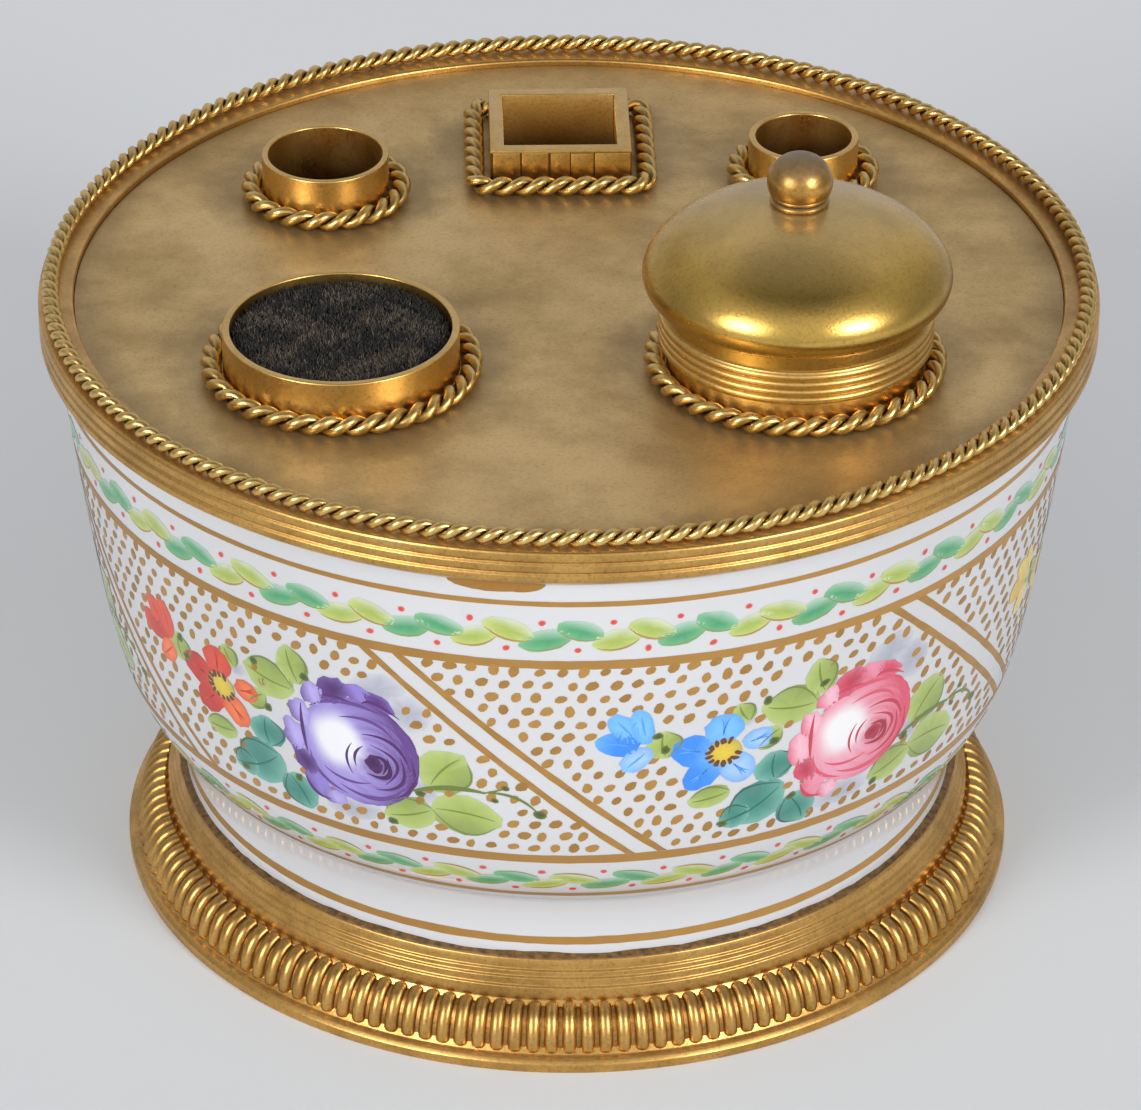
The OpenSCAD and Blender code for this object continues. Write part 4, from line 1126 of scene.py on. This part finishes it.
def garland(start, lower_s, upper_s, w, h, berry_low, berry_high, flipped):
    """A chain of leaf pairs. flipped puts the brown edge on top of the upper leaves."""
    for k in range(PAIR_COUNT):
        core, edge = LEAF_YELLOW if k % 2 else LEAF_GREEN
        line = VEIN_BROWN if k % 2 else between(VEIN_BROWN, core, 0.45)
        first = start + 360 / PAIR_COUNT * k + dice.uniform(-0.3, 0.3)
        for offset, s, lean, lit in ((1.9, lower_s, 14, 90), (5.6, upper_s, -13, 60)):
            place = (first + offset, s + dice.uniform(-0.2, 0.2))
            lean += dice.uniform(-5, 5)
            long = w * dice.uniform(0.92, 1.08)
            dab(enamel, place, (0, 0, long, h * dice.uniform(0.9, 1.1), lean), shaded(core, edge, WHITE, lit, 0.45),
                point=0.25, wobble=0.06)
            ahead = heading(lean)
            over = Vector((-ahead.y, ahead.x)) * (h if flipped and s == upper_s else -h)
            ahead *= 0.44 * long
            stroke(enamel, place, [over * 0.18 - ahead, over * 0.47, over * 0.22 + ahead],
                   0.34 if k % 2 else 0.26, line, steps=6)
        for offset, s in ((1.5, berry_high), (5.3, berry_low)):
            dab(enamel, (first + offset, s + dice.uniform(-0.25, 0.25)),
                (0, 0, dice.uniform(0.85, 1.2), 0.9, dice.uniform(0, 90)), shaded(BERRY, between(BERRY, WHITE, 0.15)),
                layer=2, rings=2, spokes=8)


garland(9.0, 53.4, 54.8, 6.9, 3.4, 51.6, 56.4, False)
garland(1.6, 7.4, 8.9, 6.8, 2.7, 6.0, 10.6, True)

# %% [markdown]
# ## Flower sprays
#
# Each of the six fields has one spray: a rose, a smaller flower and a bud to its left, and leaves
# around them. The same drawing serves for all, and the colours change from field to field. The
# painter kept the rose's light side white, drew its folds as arcs round a dark heart, and put in
# soft grey leaves behind as a shadow. Places are in millimetres from the flower's middle, and
# each touch is listed as its place, width, height and lean.

# %% Colours of the sprays
GREENS, TEALS = palette("a2b45c b6c67c 6c7d38 465230"), palette("448c7e 7cb6a8 28665c")
SHADOW, OLIVE, DASH_BROWN, CENTRE_YELLOW = palette("b0b2bf 9a9a58 6a4030 e6c743")
ROSE_TONES = {
    "pink": palette("f4f2f3 f3bfce ec93aa dc4b66 9c2a3c"),
    "purple": palette("f0f0f6 bcaeec 9482d2 5f3580 421b4a"),
    "blue": palette("e8ebef b4ccec 84a8de 4767b2 27376e"),
}
SMALL_TONES = {
    "pink": palette("7cc0fb 3f8df0 a9cdf3 3f8df0"),
    "purple": palette("e0553f c2392f f5854f dc4a3c"),
    "blue": palette("efd35c e3b93a f3e08c d9a02e"),
}

# %% Rose
ROSE_W, HEART = 17.8, Vector((2.4, -1.5))
# Reach from the heart, first and last turn, and width
HEART_FOLDS = ((1.1, -200, 20, 0.8), (1.7, -60, 120, 0.7), (2.3, -130, 40, 0.8), (3.3, -70, 100, 0.55),
               (4.3, -95, 30, 0.55), (5.0, 0, 110, 0.6), (5.7, -70, 20, 0.5), (3.2, 120, 200, 0.45),
               (4.4, 140, 215, 0.4))
# Three points and width
OUTER_FOLDS = (((-7.2, 5.6), (-1.8, 7.9), (4.2, 7.0), 0.8), ((4.8, 6.9), (8.2, 1.5), (7.3, -3.8), 0.9),
               ((-3.4, -6.4), (2.2, -7.4), (6.4, -4.4), 0.8), ((-7.8, -2.0), (-6.4, -5.6), (-2.4, -7.8), 0.6),
               ((-2.6, 5.2), (2.4, 5.6), (5.6, 3.0), 0.6), ((-5.8, -4.0), (-2.4, -5.4), (1.4, -4.9), 0.5),
               ((6.2, 4.4), (7.3, 1.4), (7.0, -1.4), 0.5))
PETAL_FOLDS = (((-8.6, 5.6), (-8.7, 1.4), (-8.2, -2.6)), ((-5.0, 8.0), (-3.4, 8.4), (-0.8, 8.2)),
               ((1.2, 8.4), (3.2, 8.8), (6.6, 7.0)), ((-9.2, -6.6), (-7.8, -9.2), (-5.4, -9.8)))


def rose(anchor, tones, tall):
    """A rose: a body with a white light, folds round its heart, and loose petals."""
    white, light, mid, deep, dark = tones
    wine = between(deep, dark, 0.5)

    def body(x, y, share, _):
        from_heart = math.hypot(x - 0.27, y + 0.17)
        around = math.atan2(y + 0.17, x - 0.27)
        rightward = max(0.0, min(1.0, 0.30 + 0.85 * x + 0.12 * y))
        shade = between(light, mid, 0.30 + 0.55 * share)
        shade = between(shade, deep, 1.15 * (rightward * share) ** 1.3)
        folds = 0.5 + 0.5 * math.sin(31 * from_heart + 1.1 * math.sin(2 * around))
        shade = between(shade, deep, 0.55 * folds ** 2 * (0.15 + rightward))
        brushed = math.sin(70 * from_heart + 5 * math.sin(3 * around))
        shade = between(shade, light, 0.16 * max(0.0, brushed))
        ragged = 1 + 0.12 * math.sin(4 * around + 1.0) + 0.07 * math.sin(11 * around)
        glow = math.exp(-((((x + 0.36) / 0.42) ** 2 + ((y - 0.10) / 0.46) ** 2) * ragged) ** 1.9)
        shade = between(shade, white, 1.25 * glow)
        shade = between(shade, dark, 0.9 * math.exp(-(from_heart / 0.17) ** 2))
        return between(shade, deep, 4 * max(0.0, share - 0.88) * (0.3 + rightward))

    def touch(points, width, colour, layer=3):
        stroke(enamel, anchor, [(u, v * tall) for u, v in points], width, colour, layer, steps=14, ends=0.12)

    dab(enamel, anchor, (0, 0, ROSE_W, ROSE_W * tall, 0), body, layer=2, rings=30, spokes=84, wobble=0.012, streaky=0.0)
    for reach, first, last, width in HEART_FOLDS:
        touch([HEART + heading(turn) * reach for turn in (first, (first + last) / 2, last)], width,
              between(deep, dark, 0.85 if reach < 3 else 0.45))
    dab(enamel, anchor, (HEART.x - 0.4, HEART.y + 0.2, 3.0, 2.4, 20), shaded(dark, between(dark, deep, 0.6)),
        layer=4, rings=3, spokes=12, wobble=0.3)
    for *points, width in OUTER_FOLDS:
        touch(points, width, between(mid, deep, 0.85))
    for u, v, w, h, lean, core in (
        (-3.2, 9.4, 5.6, 4.2, 30, wine), (0.4, 10.0, 4.4, 3.0, -8, mid), (3.6, 9.2, 5.0, 2.4, -32, deep),
        (-6.6, 7.8, 4.2, 3.4, 55, light), (-8.9, 4.0, 3.4, 4.6, 15, light), (-10.2, -0.4, 3.6, 6.0, 8, light),
        (-8.8, -4.2, 3.2, 5.2, 30, wine), (-7.2, -7.6, 3.8, 4.4, 40, mid), (-4.6, -9.2, 3.6, 2.8, 15, light),
    ):
        dab(enamel, anchor, (u, v * tall, w, h, lean), shaded(core, between(core, mid, 0.5), deep, 200),
            layer=3, rings=5, wobble=0.16)
    for points in PETAL_FOLDS:
        touch(points, 0.6, between(deep, dark, 0.3), layer=4)


# %% Small flower, bud and leaves
def petals(anchor, listed, edge, lit, strength, toward, rings, spokes, wobble):
    """Paints petals one by one and yields each one's place and lean. listed has their places, sizes, leans and
    colours. A petal is lit on the side that lies toward degrees from its lean."""
    for *shape, core in listed:
        dab(enamel, anchor, shape, shaded(core, between(core, edge, 0.5), lit, shape[-1] + toward, strength),
            layer=2, rings=rings, spokes=spokes, wobble=wobble)
        yield Vector(shape[:2]), shape[-1]


def small_flower(anchor, tones):
    """A flower of five petals with a yellow middle ringed by brown dashes."""
    light, strong, pale, _ = tones
    listed = ((-0.2, 4.2, 5.4, 5.6, 85, light), (-4.5, 1.0, 6.2, 5.4, 165, strong),
              (-2.9, -3.4, 6.0, 4.8, 225, strong), (2.2, -3.2, 6.0, 4.8, -50, pale), (4.9, 1.3, 4.6, 3.8, 15, pale))
    for middle, lean in petals(anchor, listed, strong, light, 0.7, 180, 5, 18, 0.09):
        for bend in (-0.28, 0.05, 0.34):
            bent = heading(lean + math.degrees(bend))
            stroke(enamel, anchor, [middle - heading(lean) * 1.2, middle + bent * 0.3, middle + bent * 1.9], 0.3,
                   between(strong, light, dice.uniform(0.0, 0.6)), layer=3, steps=5)
    dab(enamel, anchor, (0, 0, 5.0, 4.6, 0), shaded(CENTRE_YELLOW, between(CENTRE_YELLOW, OLIVE, 0.6)), layer=4)
    for k in range(12):
        around = 70 + 25 * k
        spot = heading(around)
        dab(enamel, anchor, (2.2 * spot.x, 2.0 * spot.y, dice.uniform(0.9, 1.5), dice.uniform(0.6, 0.9),
                             around + dice.uniform(-40, 40)), shaded(DASH_BROWN, DASH_BROWN),
            layer=5, rings=1, spokes=8, wobble=0.25)


def bud(anchor, tones):
    """A side view of a bud: four petals that open to the left."""
    light, strong, pale, deep = tones
    listed = ((-1.6, 0.2, 6.4, 4.2, 168, strong), (-0.6, 2.8, 6.2, 3.6, 128, light),
              (1.8, 3.0, 6.4, 3.2, 100, light), (1.0, -2.8, 5.2, 3.6, 225, pale))
    for middle, lean in petals(anchor, listed, deep, light, 0.6, 0, 4, 16, 0.10):
        stroke(enamel, anchor, [middle - heading(lean) * 1.6, middle, middle + heading(lean) * 1.8], 0.32,
               between(strong, light, 0.3), layer=3)


def leaf(anchor, shape, tones):
    """A pointed leaf with a darker lower side, a middle vein and part of an outline."""
    core, edge, dark = tones[:3]
    u, v, w, h, lean = shape
    dab(enamel, anchor, shape, shaded(core, edge, dark, lean - 100, 0.65), rings=5, spokes=20, point=0.35)
    middle, ahead, over = Vector((u, v)), heading(lean) * w / 2, heading(lean + 90) * h / 2
    stroke(enamel, anchor, [middle - ahead * 0.85, middle + over * 0.12, middle + ahead * 0.8], 0.36,
           between(dark, core, 0.25))
    stroke(enamel, anchor, [middle - ahead * 0.95 - over * 0.1, middle - over * 0.93,
                            middle + ahead * 0.8 - over * 0.35], 0.34, between(dark, core, 0.15), steps=10)


# %% Paint the six sprays
GREY_LEAVES = ((3.4, 12.0, 8.4, 5.6, 20), (8.0, 8.8, 6.6, 6.0, -30), (-1.8, -11.0, 9.0, 4.2, 5),
               (-20.0, 7.4, 4.0, 2.4, 0), (9.4, -4.4, 3.4, 5.0, 10))
GREEN_LEAVES = ((-12.6, 8.4, 8.8, 6.8, 170), (-8.2, 12.2, 6.6, 5.2, 105), (12.5, -0.5, 8.4, 7.8, 50),
                (14.8, -8.2, 10.0, 7.6, -8), (6.6, -9.3, 7.8, 6.0, 200), (-30.4, 5.3, 4.8, 5.2, 100),
                (-19.6, 9.0, 3.8, 3.6, 120), (-23.0, -5.3, 6.2, 4.0, 190), (-15.2, 3.6, 4.4, 3.8, 40))
TEAL_LEAVES = ((-15.8, -8.2, 9.2, 8.2, 215), (-9.2, -11.0, 6.6, 6.0, -60), (-13.8, -1.8, 5.4, 6.4, 95),
               (-18.8, -9.8, 4.6, 4.8, 200))
LEAF_TIPS = ((-16.2, 10.4), (-7.6, 10.8), (-31.4, 7.0), (-30.2, 4.4), (8.6, -5.2), (-20.4, -10.8), (4.0, -11.6),
             (-14.4, 2.8), (-10.4, -8.4))
leaf_dark = shaded(GREENS[3], GREENS[2])
for phi, s, kind in ROSES:
    spot = (phi, s)
    # The purple rose is taller than the others, and its flowers stand further to the left
    tall, wide = (1.07, -1.3) if kind == "purple" else (1.0, 0.0)
    for shape in GREY_LEAVES:
        dab(enamel, spot, shape, shaded(SHADOW, between(SHADOW, WHITE, 0.5)), layer=0, spokes=18, wobble=0.10)
    for u, *shape in GREEN_LEAVES:
        leaf(spot, (u + (wide if u < 0 else 0.0), *shape), GREENS)
    for u, *shape in TEAL_LEAVES:
        leaf(spot, (u + wide, *shape), TEALS)
    for u, v in LEAF_TIPS:
        dab(enamel, spot, (u, v, 1.6, 1.3, dice.uniform(0, 90)), leaf_dark, layer=3, rings=2, spokes=10, wobble=0.2)
    stroke(enamel, spot, [(7.4, -5.0), (12.6, -3.4), (17.8, -3.6)], 0.9, GREENS[2], layer=3, steps=12, ends=0.35)
    stroke(enamel, spot, [(17.4, -3.6), (18.8, -3.2), (20.2, -2.6)], 0.35, GREENS[2])
    stroke(enamel, spot, [(17.0, -3.6), (21.6, -3.9), (24.8, -6.8)], 0.5, GREENS[2], steps=12)
    for u, v, w in ((20.6, -2.4, 1.2), (25.0, -7.0, 1.9), (19.0, -4.8, 1.1)):
        dab(enamel, spot, (u, v, w, w * 0.8, -20), leaf_dark, layer=3, rings=2, spokes=10)
    small_flower(beside(spot, -21.8 + wide, 2.6), SMALL_TONES[kind])
    bud(beside(spot, -35.2 + 0.6 * wide, 5.8), SMALL_TONES[kind])
    rose(spot, ROSE_TONES[kind], tall)
print("sprays painted:", len(ROSES))

# %% [markdown]
# ## Fire the paint
#
# Two drips of gilding under the rim come last. Then both canvases become pieces that ride on the
# bowl. Their faces must all look outward.

# %% Make the painting
drip = tone("b07c34")
for phi, s, w, h in ((-9.4, 63.0, 12.6, 3.5), (-6.6, 62.9, 7.0, 3.0)):
    dab(gold, (phi, s), (0, 0, w, h, 0), shaded(drip, between(drip, GOLD_DARK, 0.6)), spokes=40, wobble=0.03)
for canvas, name, material, slot in ((enamel, "enamel_flowers", ENAMEL, "porcelain"),
                                     (gold, "fired_gold", FIRED_GOLD, "bright_gilt")):
    canvas.normal_update()
    for face in canvas.faces:
        if face.normal.xy.dot(face.calc_center_median().xy) < 0:
            face.normal_flip()
    add_piece(name, canvas, "stand", material, slot, sharp=60)

# %% [markdown]
# ## The ink pot
#
# The pot hangs in the collar under the lid, and shows only when the lid is off. It is a plain
# white liner with a round bottom and a flange.

# %% Ink pot
POT_R, POT_FLANGE_R, POT_FLANGE_T, POT_WALL, POT_ROUND = 14.85, 16.25, 2.0, 2.4, 3.0
EDGE_ROUND, LIP_ROUND = 0.5, 0.6
low, high = box_mm("ink_pot")
inner_r = POT_R - POT_WALL
pot_outline = (
    [(0.0, low.z)] + arc((POT_R - POT_ROUND, low.z + POT_ROUND), POT_ROUND, POT_ROUND, -90, 0, 8)
    + [(POT_R, high.z - POT_FLANGE_T), (POT_FLANGE_R, high.z - POT_FLANGE_T)]
    + arc((POT_FLANGE_R - EDGE_ROUND, high.z - EDGE_ROUND), EDGE_ROUND, EDGE_ROUND, 0, 90, 4)
    + arc((inner_r + LIP_ROUND, high.z - LIP_ROUND), LIP_ROUND, LIP_ROUND, 90, 180, 4)
    + arc((inner_r - POT_ROUND, low.z + POT_WALL + POT_ROUND), POT_ROUND, POT_ROUND, 0, -90, 8)
    + [(0.0, low.z + POT_WALL)]
)
add_piece("pot_liner", turned(pot_outline, WELL, 96), "ink_pot", POT_GLAZE, "pot_glaze", ["ink_pot"])

# %% [markdown]
# ## The pen wiper's bristles
#
# A pen wiper is a stiff brush cut level. Each hair is a thin three-sided spike. They are spread
# along a sunflower spiral, which fills a disc evenly. Use has pressed them into locks that lean
# this way and that, and a few dusty hairs are paler than the rest.

# %% Bristles
FIELD_R = radius_mm("wiper_bristles") - 0.1
ROOT_Z = box_mm("wiper_bristles")[0].z + 1.0
HAIR_COUNT, DUSTY_COUNT = 12000, 9000
# The angle of a sunflower spiral, and the share of dusty hairs outside the dusty locks
GOLDEN_ANGLE, LOOSE_DUST = math.radians(137.508), 0.12


def dusty_lock(x, y):
    """Whether the hairs here belong to a lock that holds pale dust."""
    patch = math.sin(0.42 * x + 1.9 * math.sin(0.3 * y)) + math.sin(0.5 * y + 1.5 * math.sin(0.37 * x + 1))
    return patch + 0.5 * math.sin(2.1 * x + 3 * math.sin(y)) > 0.35


def hair_field(count, radius, reach, thickness, lean, first, only_dusty=False):
    """A bmesh of hairs spread over a disc. first shifts the spiral, so two fields don't coincide."""
    bm = bmesh.new()
    for k in range(count):
        turn = GOLDEN_ANGLE * (k + first)
        out = radius * math.sqrt((k + 0.5) / count)
        root = Vector((WIPER[0] + out * math.cos(turn), WIPER[1] + out * math.sin(turn), ROOT_Z))
        if only_dusty and not dusty_lock(root.x, root.y) and dice.random() > LOOSE_DUST:
            continue
        lock = 0.5 * Vector((math.sin(0.9 * root.x + 1.3 * math.sin(0.7 * root.y)),
                             math.sin(1.1 * root.y + 1.7 * math.sin(0.6 * root.x)), 0))
        stray = Vector((dice.uniform(-lean, lean), dice.uniform(-lean, lean), 0))
        sway = lock * min(1.0, 2 * (1 - out / radius)) + stray
        height = reach - 0.6 * dice.random() - 0.4 * abs(math.sin(0.8 * root.x + root.y)) - 0.5 * (out / radius) ** 6
        spun = dice.random() * math.pi
        corners = [Vector((math.cos(spun + a), math.sin(spun + a), 0)) * thickness for a in (0.0, 2.09, 4.19)]
        bend = root + sway * 0.7 + Vector((0, 0, height - 1.3 + 0.5 * dice.random()))
        droop = dice.uniform(0, 2 * math.pi)
        tip = bend + Vector((math.cos(droop), math.sin(droop), 0)) * dice.uniform(0.1, 0.8)
        tip.z = root.z + height
        rings = [[bm.verts.new((spot + corner * share) * MM) for corner in corners]
                 for spot, share in ((root, 1.0), (bend, 0.9), (tip, 0.4))]
        for lower, upper in zip(rings, rings[1:]):
            for i in range(3):
                bm.faces.new((lower[i], lower[i - 2], upper[i - 2], upper[i]))
        bm.faces.new(rings[-1])
    return bm


reach = box_mm("wiper_bristles")[1].z - ROOT_Z
add_piece("bristles", hair_field(HAIR_COUNT, FIELD_R, reach, 0.11, 0.4, 0.0), "wiper_brush", HAIR, "bristle",
          ["wiper_bristles"], sharp=180)
add_piece("dusty_bristles", hair_field(DUSTY_COUNT, FIELD_R * 0.95, reach + 0.1, 0.07, 0.6, 0.5, True),
          "wiper_brush", PALE_HAIR, "bristle", sharp=180)

# %% [markdown]
# ## Finishes of the frame pieces that stay
#
# Flat or hidden pieces keep the frame's own mesh: the plate, the floors of the tubes, the rod
# and its nut. They only get their finish.

# %% Finish the frame pieces
KEPT = {
    GILT_PLATE: ["top_plate"],
    # Dark gilt on the tube floors is painted shade at the bottom of the tubes
    GILT_DARK: ["left_pen_floor", "right_pen_floor", "wax_box_floor", "wiper_floor", "lid_sleeve", "lid_nut",
                "base_plate", "rod_boss"],
    STEEL: ["tie_rod", "rod_washer", "rod_nut"],
    PLASTER: ["plaster_bed"],
    BEECH: ["wiper_block"],
}
for material, nodes in KEPT.items():
    for node in nodes:
        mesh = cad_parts[node].data
        mesh.materials.clear()
        mesh.materials.append(material)
print("frame pieces finished:", sum(len(nodes) for nodes in KEPT.values()))

# %% [markdown]
# ## Floor and light
#
# The object stands on a pale, cool grey table that runs out of view. Two soft boxes stand low
# in front, left and right: the polished dome shows both as bright patches. The rest of the
# light comes from pale walls and a pale ceiling, dimmer at the left and right. The middle of the
# ceiling is dark, which the slope of the dome shows.

# %% Table
TABLE_REACH = 3.0
bm = bmesh.new()
bmesh.ops.create_grid(bm, x_segments=2, y_segments=2, size=TABLE_REACH)
mesh = bpy.data.meshes.new("table")
bm.to_mesh(mesh)
bm.free()
paper, tree, place, surface = new_material("table_paper")
# Painted light: the table is made lighter toward the back, standing in for a backdrop that catches more light
away = add(tree, "MapRange", {"Value": add(tree, "SeparateXYZ", {0: place}, "Y"), "From Min": -0.1, "From Max": 0.45})
colour = add(tree, "Mix", {0: away, MIX_A: linear("d0d3d6"), MIX_B: linear("f4f6f9")}, MIX_OUT, data_type="RGBA")
tree.links.new(add(tree, "BsdfPrincipled", {"Base Color": colour, "Roughness": 0.85}), surface)
mesh.materials.append(paper)
table = bpy.data.objects.new("table", mesh)
bpy.context.scene.collection.objects.link(table)


# %% Lamps
LAMP_RISE, LAMP_REACH, LAMP_SIZE, LAMP_WATTS = math.radians(25), 1.1, 0.34, 6.5
LAMP_TARGET = Vector((0, 0, 0.07))


def soft_box(name, azimuth):
    """A square lamp aimed at the bowl. azimuth 0 is straight in front, and grows to the right."""
    data = bpy.data.lights.new(name, "AREA")
    data.energy = LAMP_WATTS
    data.size = LAMP_SIZE
    lamp = bpy.data.objects.new(name, data)
    side = math.radians(azimuth)
    away = Vector((math.sin(side) * math.cos(LAMP_RISE), -math.cos(side) * math.cos(LAMP_RISE), math.sin(LAMP_RISE)))
    aimed = (-away).to_track_quat("-Z", "Y").to_matrix().to_4x4()
    lamp.matrix_world = Matrix.Translation(LAMP_TARGET + LAMP_REACH * away) @ aimed
    bpy.context.scene.collection.objects.link(lamp)


soft_box("left_soft_box", -42)
soft_box("right_soft_box", 43)

# %% Room
world = bpy.data.worlds.new("surround")
bpy.context.scene.world = world
world.use_nodes = True
sky = world.node_tree
toward = add(sky, "TexCoord", result="Generated")
sideways = add(sky, "SeparateXYZ", {0: toward}, "X")
upward = add(sky, "SeparateXYZ", {0: toward}, "Z")
overhead = add(sky, "MapRange", {"Value": upward, "From Min": 0.78, "From Max": 0.93})
ceiling = add(sky, "Mix", {0: overhead, MIX_A: linear("ededee"), MIX_B: linear("626366")}, MIX_OUT, data_type="RGBA")
squared = add(sky, "Math", {0: sideways, 1: sideways}, operation="MULTIPLY")
dimmed = add(sky, "Math", {0: squared, 1: 0.8}, operation="MULTIPLY")
walls = add(sky, "Mix", {0: dimmed, MIX_A: ceiling, MIX_B: linear("77787b")}, MIX_OUT, data_type="RGBA")
backdrop = sky.nodes["Background"]
sky.links.new(walls, backdrop.inputs["Color"])
backdrop.inputs["Strength"].default_value = 0.85
bpy.context.scene.view_settings.view_transform = "Standard"
